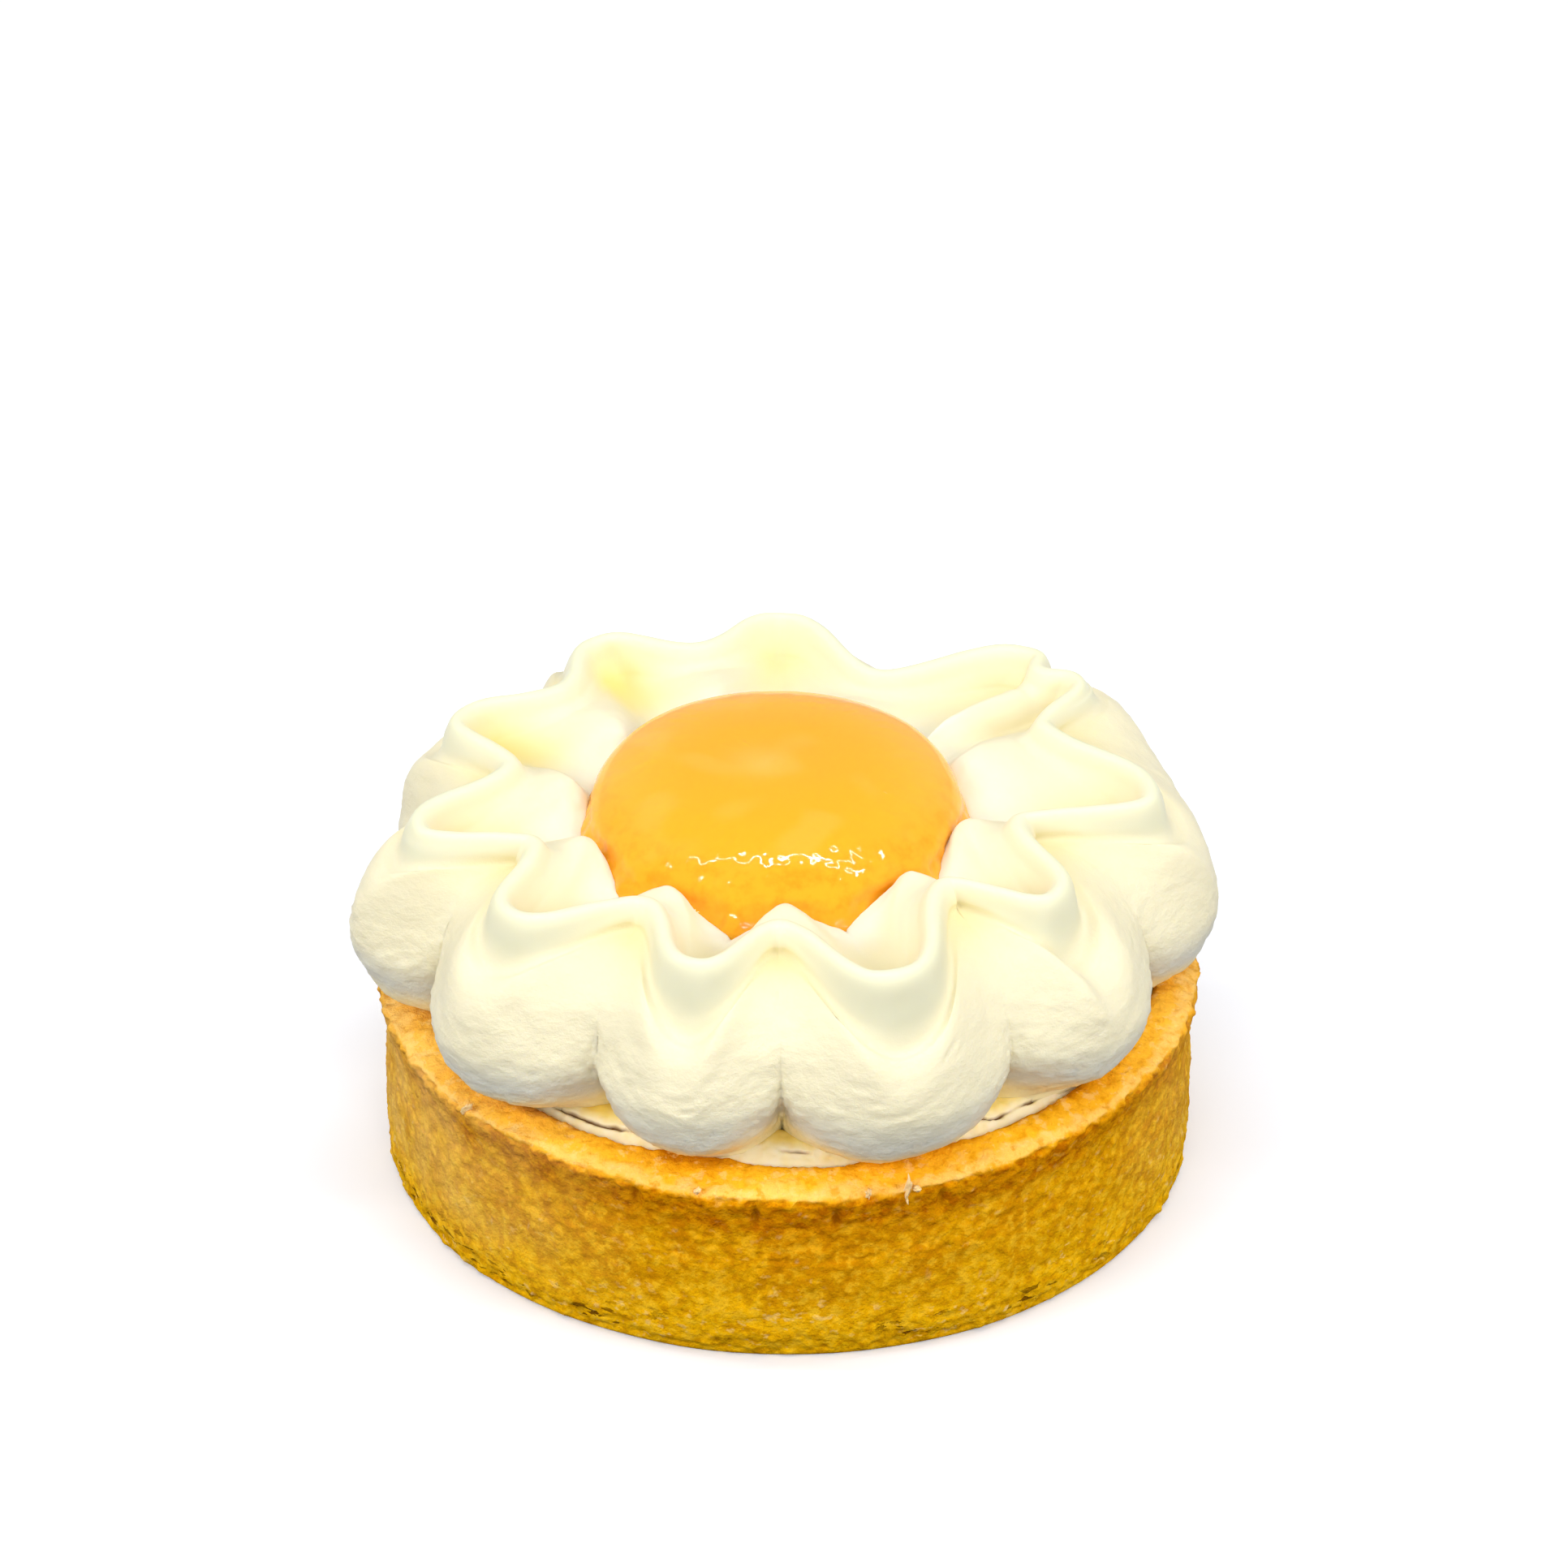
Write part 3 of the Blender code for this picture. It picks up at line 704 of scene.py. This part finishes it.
def filling_surface(settings):
    """The filling's grid and masks: a disc whose skin turns up at the crust and tears beside it.

    The tear is a groove round the disc that wanders by noise and comes and goes. Outside it the
    skin is ragged, lifted by noise of three sizes.
    """
    angle = around(CRUST_COLUMNS)
    ring = turned(35.0, 0.0, angle)
    reach = settings.radius / MM + 0.15 + 0.25 * noise(ring, 3.0, 21) + 0.15 * noise(ring, 1.0, 22)
    level = settings.level / MM
    lift = 0.9 + 0.3 * noise(ring, 5.0, 23) + 0.2 * noise(ring, 1.2, 28)
    lift = lift - 0.9 * under_bellies(angle)
    # Radius and height, how much they hang from the edge's, share of the lift, rows of faces.
    profile = (
        (33.0, 4.3, 0, 0, 2), (34.4, 6.0, 0, 0, 2), (0, -1.2, 1, 0, 4),
        (0, -0.1, 1, 0.1, 5), (-0.3, 0.25, 1, 0.25, 8), (-1.1, 0.3, 1, 0.8, 10),
        (-2.2, 0.3, 1, 1.5, 10), (-3.6, 0.2, 1, 1.7, 5), (-6.0, 0, 1, 0.6, 3),
        (-16.0, 0, 1, 0, 0),
    )
    keys = [turned(reach * hangs + radius, level * hangs + height + share * lift, angle)
            for radius, height, hangs, share, _ in profile]
    grid, place = woven(keys, [row[-1] for row in profile])
    top = eased(place, 2.0, 3.5)
    from_edge = reach - np.linalg.norm(grid[..., :2], axis=2)
    middle = 1.15 + 0.8 * noise(turned(30.0, 0.0, angle), 4.0, 29)
    open_here = eased(noise(turned(26.0, 2.0, angle), 3.0, 37), -0.2, 0.2)
    # The tear is a groove that is also painted dark, as shade in it.
    tear = top * open_here * bump(from_edge, middle, 0.12 + 0.06 * noise(ring, 0.9, 38))
    ragged = top * bump(from_edge, 1.2, 1.2)
    relief = top * (0.10 * noise(grid, 2.4, 24) + 0.05 * noise(grid, 0.8, 25)
                    - 0.12 * pores(grid, 1.8, 0.3, 0.4, 26)) + ragged * 0.2 * noise(grid, 0.6, 39)
    grid = grid + (relief - 0.5 * tear)[..., None] * outward(grid)
    skin_here = eased(from_edge, middle + 1.1, middle + 0.1) * (0.85 + 0.5 * noise(grid, 1.2, 27))
    return grid, {"skin": skin_here, "torn": 1.2 * tear}


# Piped cream ring


def ring_columns(per_half):
    """The ring's columns: their phases go by a sine and a cosine, so they are close at the turns.

    For each: its direction, its phase, half its lobe's angle, then the lobe's four sizes and
    the turn's. The phase runs from -1 at the turn before a lobe, through 0 at its middle, to 1
    at the turn after it.
    """
    share = np.arange(per_half) / per_half * math.pi / 2.0
    columns = []
    for index, (lobe, *reaches) in enumerate(CREAM_LOBES):
        whole_turn = 360.0 if index == 0 else 0.0
        before = CREAM_LOBES[index - 1][5:]
        after = CREAM_LOBES[index][5:]
        sides = ((-np.cos(share), before[0] - whole_turn, before[1:]),
                 (np.sin(share), after[0], after[1:]))
        for phases, turn, turn_reaches in sides:
            half = abs(turn - lobe)
            for phase in phases:
                columns.append((lobe + phase * half, phase, half, *reaches[:4], *turn_reaches))
    angle, phase, half, *rest = np.array(columns).T
    return (np.radians(angle), phase, np.radians(half), *rest)


def mix(share, first, second):
    """The first value where share is 0, the second where it is 1, and evenly between them."""
    return first + (second - first) * share


def leaned(angle):
    """Directions of the inner bellies: 5 degrees further round at the front, less by a bell."""
    return angle + math.radians(5.0) * bump(from_front(angle), 0.0, math.radians(27.0))


def puffed(phase):
    """How far an inner belly bulges, from 0 to 1: the root of 1 - (1 - phase)^2."""
    return np.sqrt(np.clip(1.0 - (1.0 - np.abs(phase)) ** 2, 0.0, 1.0))


def throat_reach(angle):
    """How far the hole between the inner bellies reaches from its middle in each direction."""
    there, phase, _, _, _, _, at_lobe, _, at_turn, _, _ = ring_columns(24)
    return np.interp(angle, leaned(there), mix(puffed(phase), at_lobe, at_turn), period=TURN)


def cream_surface(settings, lip_settings):
    """The ring's grid and masks: one rope of cream piped in a closed zigzag.

    Each key row follows the whole rope. Outside, the rope bulges at every lobe as a power of
    1 - phase^2 and has a groove at every turn, inside the other way round. Rows beside the
    crest keep their distance from it along its plan normal. Wrinkles, lumps and pores then
    move the skin along its normal, but hardly where the steep face folds in at a turn.
    """
    (angle, phase, half, crest_reach, belly, swell, lobe_foot, turn_reach, turn_foot, lead,
     groove) = ring_columns(settings.columns)
    outside = angle + np.radians(lead) * phase ** 2
    swing = np.cos(math.pi * phase)
    wave = 0.5 + 0.5 * swing
    bend = 0.5 + 0.5 * mix(0.6 * wave, swing, np.sin(math.pi / 2.0 * swing))
    bend = bend - 0.03 * np.sin(math.pi * phase) ** 2
    bulge = np.clip(1.0 - phase ** 2, 0.0, 1.0) ** 0.68
    reach = mix(bend, turn_reach, crest_reach)
    crest = np.stack([reach * np.cos(angle), reach * np.sin(angle)], axis=1)
    ahead = np.roll(crest, -1, axis=0) - np.roll(crest, 1, axis=0)
    normal = np.stack([ahead[:, 1], -ahead[:, 0]], axis=1)
    normal = normal / np.linalg.norm(normal, axis=1, keepdims=True)
    leaning = normal[:, 0] * np.cos(angle) + normal[:, 1] * np.sin(angle)
    sideways = normal[:, 1] * np.cos(angle) - normal[:, 0] * np.sin(angle)
    centre = 0.5 * (JELLY_LOW.x + JELLY_HIGH.x) / MM
    bore = settings.bore / MM
    foot = settings.foot / MM
    top = settings.crest / MM - 0.3 - 1.1 * bump(np.degrees(angle), 424.0, 16.0)
    over_rim = lip_height(angle, lip_settings) + 1.4
    ridge = 26.8 + 0.9 * (groove - GROOVE_REACH)
    swollen = swell - BELLY_HEIGHT

    def beside(offset, turn_drop, lobe_drop, power=1.0):
        """A row at a distance from the crest, kept short of the next turn or lobe middle.

        The drops are how far below the crest it lies at those two, the power how late it goes
        from one to the other.
        """
        radius = reach + offset * leaning
        shift = offset * sideways / radius
        room = np.where(shift * phase > 0.0, 1.0 - np.abs(phase), np.abs(phase)) * half + 1.0e-6
        moved = shift * room / (room + np.abs(shift))
        share = (0.5 + 0.5 * np.cos(math.pi * (phase + moved / half))) ** power
        return turned(radius, top - mix(share, turn_drop, lobe_drop), angle + moved)

    def outer(share, turn_radius, lobe_radius, turn_height, lobe_height):
        """A row of the outside: how much it bulges is its share."""
        return turned(mix(share, turn_radius, lobe_radius),
                      mix(wave, turn_height, lobe_height), outside)

    def shoulder(start, goal, degrees):
        """A row on a quarter of an ellipse: it leaves the start level and meets the goal steep."""
        bow = math.radians(degrees)
        out = math.sin(bow)
        return start + (goal - start) * np.array([out, out, 1.0 - math.cos(bow)])

    def belly_row(sharp):
        """The belly's widest row, with that share of its outline creased at the turns."""
        return outer(mix(sharp, wave, bulge), groove - 1.1 * sharp, belly, ridge, swell)

    def throat_row(sharp):
        """The inner bellies' narrowest row, with that share of it creased at the lobes."""
        return turned(mix(mix(sharp, 1.0 - wave, puff), lobe_foot, turn_foot),
                      mix(wave, 35.6, 34.4), leaned(angle), centre)

    puff = puffed(phase)
    facing_front = np.clip(np.cos(angle - math.radians(285.0)), 0.0, 1.0) ** 1.5
    drop = np.maximum(4.7 + 2.7 * facing_front - 0.4 * swollen, 3.0)
    wall_foot = beside(mix(wave, 2.2, 2.5), 2.5, drop, 1.8)
    pocket = beside(-3.4, 1.9, 3.8)
    keys = [
        turned(mix(bulge, 29.4, 33.6), foot, outside),
        outer(bulge, groove - 6.1, 35.4, 20.5, over_rim + 0.1),
        outer(bulge, groove - 5.1, belly - 3.1, 21.8, over_rim + 0.35),
        outer(bulge, groove - 3.4, belly - 1.1, ridge - 2.8, over_rim + 2.2 + 0.9 * swollen),
        belly_row(0.7),
        *(shoulder(wall_foot, belly_row(sharp), bow)
          for sharp, bow in ((0.3, 72.0), (0.05, 54.0), (0.0, 36.0), (0.0, 17.0))),
        wall_foot,
        beside(1.75, 1.8, 0.74 * drop, 1.4),
        beside(1.4, 1.1, 0.44 * drop),
        *(beside(*row) for row in ((1.05, 0.55, 1.1), (0.6, 0.15, 0.25), (0.0, 0.0, 0.0),
                                   (-0.6, 0.2, 0.2), (-1.05, 0.8, 0.8), (-1.5, 1.5, 1.9),
                                   (-2.4, 1.8, 3.1))),
        pocket,
        *(shoulder(pocket, throat_row(sharp), bow)
          for sharp, bow in ((0.2, 22.0), (0.5, 45.0), (0.8, 68.0))),
        throat_row(1.0),
        turned(bore, 33.0, leaned(angle), centre),
        turned(bore, foot, leaned(angle), centre),
    ]
    steps = (3, 5, 8, 8, 9, 9, 8, 8, 6, 5, 4, 4, 3, 3, 3, 3, 4, 5, 5, 6, 7, 7, 6, 4, 3, 2)
    grid, place = woven(keys, steps, True)
    # The inner bellies' tops are raised.
    grid[..., 2] += 0.9 * (1.0 - wave ** 1.5) * bump(place, 20.4, 1.5)
    facing = outward(grid, True)

    # Place 9 is the steep face's foot, 14 the crest, 19 the inner pocket, 23 the throat.
    shown = eased(place, 0.6, 1.6) * eased(place, 24.5, 23.5)
    low = eased(place, 1.0, 2.0) * eased(place, 7.4, 3.6)
    outside_of = eased(place, 1.0, 2.0) * eased(place, 10.5, 9.0)
    smooth = bump(place, 13.4, 3.8)
    tangent = np.broadcast_to(angle * 40.0, grid.shape[:2])
    reach_of = np.linalg.norm(grid[..., :2], axis=2)
    grid_angle = np.arctan2(grid[..., 1], grid[..., 0]) % TURN
    drawn = np.stack([tangent / 1.7, grid[..., 2] / 0.75, reach_of / 0.75], axis=2)
    lumps = (1.0 - 0.55 * smooth) * (0.28 * noise(grid, 7.0, 31) + 0.14 * noise(grid, 2.8, 32))
    patchy = eased(noise(grid, 5.0, 45), -0.45, 0.35)
    wrinkles = 0.2 * noise(drawn, 1.0, 33) + 0.14 * noise(drawn, 0.5, 34)
    wrinkles = low * (0.4 + 0.6 * patchy) * wrinkles
    soft = (1.0 - 0.85 * smooth) * (0.08 * noise(grid, 1.4, 35) + 0.035 * noise(grid, 0.7, 46))
    pits = pores(drawn, 1.0, 0.16, 0.48, 36) * (0.25 + 0.75 * low) * outside_of
    small = pores(grid, 0.95, 0.30, 0.42, 47) * (0.15 + 0.85 * low) * outside_of * patchy
    big = pores(grid, 4.2, 0.18, 0.75, 48) * outside_of
    creases = sum(bump(np.degrees(grid_angle), at, 2.0) * eased(place, start, start + 3.0)
                  * eased(place, 20.5, 18.0) for at, start in ((91.5, 12.6), (122.5, 14.6)))
    calm = 1.0 - 0.95 * (1.0 - bend) ** 3 * bump(place, 11.3, 2.0)
    relief = shown * calm * (lumps + wrinkles + soft - 0.34 * pits - 0.22 * small - 0.42 * big
                             - 0.2 * outside_of - 0.6 * creases)
    grid = grid + relief[..., None] * facing
    grid[..., 2] = np.minimum(grid[..., 2], settings.crest / MM)

    # Painted shade: yellow at the turns and in the inner pockets, most at the back left.
    turn_back = np.mod(angle - math.radians(140.0) + math.pi, TURN) - math.pi
    back_left = bump(np.abs(turn_back), 0.0, 0.7)
    caved = 0.42 * (1.0 - bend) * bump(place, 9.0, 1.4)
    caved = caved + bend * (0.3 + 0.7 * back_left) * bump(place, 19.0, 2.0)
    return grid, {
        # The crest mask also carries a painted sheen in the colour.
        "crest": bump(place, 13.6, 2.0),
        "hollow": caved,
        # Painted shade on the steep face below the crest.
        "face": 0.8 * bend * bump(place, 10.8, 1.3),
        # Painted light: the inner bellies' tint offsets the jelly's orange light.
        "inner": 0.9 * eased(place, 20.0, 22.0),
        "rough": 0.15 + 0.85 * outside_of * (0.4 + 0.6 * low),
        # Painted shade under the bellies.
        "under": 0.7 * eased(place, 4.6, 2.6),
        # Painted bounce light from the filling at the cream's foot.
        "glow": 0.9 * eased(place, 3.4, 2.2),
    }


# Apple jelly


def jelly_surface(settings):
    """The jelly's grid and masks: a flat-topped dome on a straight plug.

    Its profile at the back turns into the one at the front, which slopes out between the inner
    bellies. It is wavy from spooning, with bubbles, lumps and one nub at its back edge.
    """
    angle = around(JELLY_COLUMNS)
    radius = settings.radius / MM
    top = settings.top / MM
    spread = np.radians(np.linspace(-3.5, 3.5, 15))
    flare = np.mean([throat_reach(angle + aside) for aside in spread], axis=0) + 0.35 - radius
    front = 0.5 - 0.5 * np.sin(angle)
    front = front * front * (3.0 - 2.0 * front)
    # How far outside the radius at the back and the front, how far below the top at those two,
    # how much it flares into the hole, and rows of faces up to the next key.
    profile = (
        (0, 0, 22.5, 22.5, 0, 2), (0, 0, 9.2, 9.2, 0, 3), (0, 0, 8.0, 8.0, 1, 4),
        (0, 0, 6.6, 7.2, 1, 6), (0, -0.9, 5.0, 6.2, 0.7, 8), (-0.2, -1.3, 3.9, 4.9, 0.2, 9),
        (-0.9, -2.8, 2.5, 3.6, 0, 9), (-2.4, -4.5, 1.5, 2.5, 0, 10),
        (-5.4, -7.3, 0.7, 1.3, 0, 12), (-9.6, -10.8, 0.3, 0.5, 0, 12),
        (-14.5, -14.5, 0.1, 0.1, 0, 6), (-17.8, -17.8, 0, 0, 0, 0),
    )
    keys = []
    for index, (back, fore, drop, fall, share, _) in enumerate(profile):
        flared = share * (front if index > 3 else 1.0) * flare
        keys.append(turned(radius + flared + back + front * (fore - back),
                           top - drop - front * (fall - drop), angle, settings.centre_x / MM))
    grid, place = woven(keys, [row[-1] for row in profile])
    shown = eased(place, 2.0, 2.8)
    facing_front = front * eased(place, 8.2, 6.8)
    row = bump(place, 7.9, 0.7)
    bead_spots = pores(grid, 1.5, 0.40, 0.40, 42) * (0.15 + 0.85 * facing_front)
    spots = pores(grid, 2.6, 0.22, 0.22, 49) * (0.3 + 0.7 * front)
    relief = shown * (0.10 * noise(grid, 6.0, 41) + 0.09 * noise(grid, 1.9, 43) * facing_front
                      + 0.05 * noise(grid, 0.9, 50) * (facing_front + row) + 0.14 * bead_spots
                      + 0.10 * spots)
    aside = np.hypot(grid[..., 0] + 3.2, grid[..., 1] - 3.6)
    bubbles = pores(grid, 0.9, 0.45, 0.34, 53) * bump(aside, 0.0, 2.2) * shown
    nub = bump(np.degrees(angle), 84.0, 3.0) * bump(place, 5.4, 0.7)
    edge = bump(place, 3.6, 1.0)
    relief = relief + 0.2 * bubbles + 0.5 * nub + edge * 0.25 * noise(grid, 1.2, 54)
    grid = grid + relief[..., None] * outward(grid)
    grid[..., 2] = np.minimum(grid[..., 2], top)
    # Painted reflection of the sky: paler back and side edges, patches and one spot on top.
    pale = eased(place, 9.5, 5.0) * (1.0 - front) + 0.2 * eased(noise(grid, 5.0, 51), 0.0, 0.5)
    return grid, {
        "deep": eased(place, 7.6, 5.6) * front * (0.8 + 0.5 * noise(grid, 2.0, 44)),
        "pale": pale + 0.4 * bump(np.hypot(grid[..., 0] + 3.0, grid[..., 1]), 0.0, 2.6),
        # Painted glints on the bubbles and beads.
        "bead": 0.6 * eased(bead_spots + spots + bubbles, 0.3, 0.8),
    }


# Operators


class TART_OT_crust(bpy.types.Operator):
    """Makes the pastry crust"""

    bl_idname = "tart.crust"
    bl_label = "Pastry Crust"

    def execute(self, context):
        settings = context.scene.tart_crust
        paste = shortcrust(settings)
        piece = skin("shortcrust_cup", *crust_surface(settings), paste, "pastry")
        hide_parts("pastry_crust")
        # Each shred lies 0.45 mm inside the lip's edge and 0.1 mm above it.
        for index, (degrees, length, turn) in enumerate(FLAKES):
            at = math.radians(degrees)
            reach = settings.rim_radius / MM - 0.45
            level = lip_height(np.array([at]), settings)[0] + 0.1
            shred = flake_surface(index, (reach * math.cos(at), reach * math.sin(at), level),
                                  length, turn)
            skin(f"pastry_flake_{index + 1}", shred, {"top": 1.0, "crumb": 0.8}, paste, "pastry")
        return {"FINISHED"}


class TART_OT_filling(bpy.types.Operator):
    """Makes the baked cream cheese filling"""

    bl_idname = "tart.filling"
    bl_label = "Cream Cheese Filling"

    def execute(self, context):
        settings = context.scene.tart_filling
        piece = skin("baked_cheese_disc", *filling_surface(settings), baked_cheese(settings),
                     "cheese")
        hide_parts("cream_cheese_filling")
        return {"FINISHED"}


class TART_OT_cream(bpy.types.Operator):
    """Makes the piped ring of whipped cream"""

    bl_idname = "tart.cream"
    bl_label = "Piped Cream Ring"

    def execute(self, context):
        settings = context.scene.tart_cream
        piece = skin("piped_cream_rope", *cream_surface(settings, context.scene.tart_crust),
                     whipped_cream(settings), "cream", loop=True)
        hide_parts("whipped_cream_ring")
        return {"FINISHED"}


class TART_OT_jelly(bpy.types.Operator):
    """Makes the dome of apple jelly"""

    bl_idname = "tart.jelly"
    bl_label = "Apple Jelly"

    def execute(self, context):
        settings = context.scene.tart_jelly
        piece = skin("apple_jelly_dome", *jelly_surface(settings), set_jelly(settings), "jelly")
        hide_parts("apple_jelly")
        return {"FINISHED"}


def softbox(name, place, size, power):
    """A white area light at a place, turned to face the middle of the tart."""
    middle = Vector((0.0, 0.0, 0.03))
    data = bpy.data.lights.new(name, "AREA")
    data.shape = "RECTANGLE"
    data.size, data.size_y = size
    data.energy = power
    data.color = WHITE
    made = bpy.data.objects.new(name, data)
    made.location = place
    made.rotation_euler = (Vector(place) - middle).to_track_quat("Z", "Y").to_euler()
    bpy.context.scene.collection.objects.link(made)
    return made


def camera_pose(settings):
    """The camera's matrix: at its distance and elevation in front of the tart's foot.

    It is turned from there by the angles whose tangents are how far the foot lies from the
    picture's middle, across and down, over the focal length in pixels.
    """
    focal = settings.lens / SENSOR * PICTURE
    pitch = settings.elevation - math.atan((FOOT_DOWN - 0.5 * PICTURE) / focal)
    yaw = math.atan((FOOT_ACROSS - 0.5 * PICTURE) / focal)
    level = Vector((0.0, math.cos(pitch), -math.sin(pitch)))
    above = Vector((0.0, math.sin(pitch), math.cos(pitch)))
    right = Vector((1.0, 0.0, 0.0))
    ahead = math.cos(yaw) * level - math.sin(yaw) * right
    right = math.cos(yaw) * right + math.sin(yaw) * level
    turn = Matrix((right, above, -ahead)).transposed().to_4x4()
    back = Vector((0.0, -math.cos(settings.elevation), math.sin(settings.elevation)))
    return Matrix.Translation(settings.distance * back) @ turn


class TART_OT_stage(bpy.types.Operator):
    """Makes the floor, the lights and the camera"""

    bl_idname = "tart.stage"
    bl_label = "Stage"

    def execute(self, context):
        settings = context.scene.tart_stage
        side = 8.0
        mesh = bpy.data.meshes.new("floor")
        mesh.from_pydata([(-side, -side, 0.0), (side, -side, 0.0), (side, side, 0.0),
                          (-side, side, 0.0)], [], [(0, 1, 2, 3)])
        paint, _, _ = finish_of("matt_white_floor", {
            "Base Color": (*settings.floor, 1.0), "Roughness": 0.9,
            "Emission Color": (*WHITE, 1.0), "Emission Strength": 0.06})
        mesh.materials.append(paint)
        floor = bpy.data.objects.new("floor", mesh)
        floor.visible_diffuse = False
        context.scene.collection.objects.link(floor)

        world = bpy.data.worlds.new("studio")
        world.use_nodes = True
        tree = world.node_tree
        height = node(tree, "ShaderNodeSeparateXYZ", {
            0: node(tree, "ShaderNodeTexCoord").outputs["Generated"]}).outputs[2]
        # The ground's light ends 20 degrees below the horizon, the sky's begins 6 above it.
        strength = node(tree, "ShaderNodeMapRange", {
            0: height, 1: -0.35, 2: 0.1, 3: settings.ground, 4: settings.sky})
        tree.links.new(strength.outputs[0], tree.nodes["Background"].inputs["Strength"])
        tree.nodes["Background"].inputs["Color"].default_value = (*WHITE, 1.0)
        context.scene.world = world
        softbox("top_strip", (0.0, 0.0, 0.72), (0.9, 0.014), settings.key)
        for name, place, share in (("left_softbox", (-0.66, -0.36, 0.45), 0.44),
                                   ("right_softbox", (0.66, -0.36, 0.45), 0.41),
                                   ("front_softbox", (0.0, -0.75, 0.36), 0.23)):
            fill = softbox(name, place, (0.5, 0.4), share * settings.front)
            fill.visible_glossy = False

        data = bpy.data.cameras.new("camera")
        data.sensor_width = SENSOR
        data.lens = settings.lens
        data.clip_start = 0.01
        data.clip_end = 50.0
        camera = bpy.data.objects.new("camera", data)
        camera.matrix_world = camera_pose(settings)
        context.scene.collection.objects.link(camera)
        context.scene.camera = camera
        context.scene.view_settings.view_transform = "Standard"
        return {"FINISHED"}


class TART_PT_panel(bpy.types.Panel):
    """Lists the tart's pieces and their settings"""

    bl_idname = "TART_PT_panel"
    bl_label = "Tart"
    bl_space_type = "VIEW_3D"
    bl_region_type = "UI"
    bl_category = "Tart"

    def draw(self, context):
        for maker, group, name in STEPS:
            box = self.layout.box()
            box.operator(maker.bl_idname)
            for setting in group.__annotations__:
                box.prop(getattr(context.scene, name), setting)


# Each operator, its settings and their name in the scene.
STEPS = (
    (TART_OT_crust, CrustSettings, "tart_crust"),
    (TART_OT_filling, FillingSettings, "tart_filling"),
    (TART_OT_cream, CreamSettings, "tart_cream"),
    (TART_OT_jelly, JellySettings, "tart_jelly"),
    (TART_OT_stage, StageSettings, "tart_stage"),
)


def register():
    """Registers the settings, the operators and the panel."""
    for maker, group, name in STEPS:
        bpy.utils.register_class(group)
        setattr(bpy.types.Scene, name, PointerProperty(type=group))
        bpy.utils.register_class(maker)
    bpy.utils.register_class(TART_PT_panel)


def unregister():
    """Removes what register added."""
    bpy.utils.unregister_class(TART_PT_panel)
    for maker, group, name in reversed(STEPS):
        bpy.utils.unregister_class(maker)
        delattr(bpy.types.Scene, name)
        bpy.utils.unregister_class(group)


def main():
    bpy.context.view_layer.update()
    register()
    bpy.ops.tart.crust()
    bpy.ops.tart.filling()
    bpy.ops.tart.cream()
    bpy.ops.tart.jelly()
    bpy.ops.tart.stage()


if __name__ == "__main__":
    main()
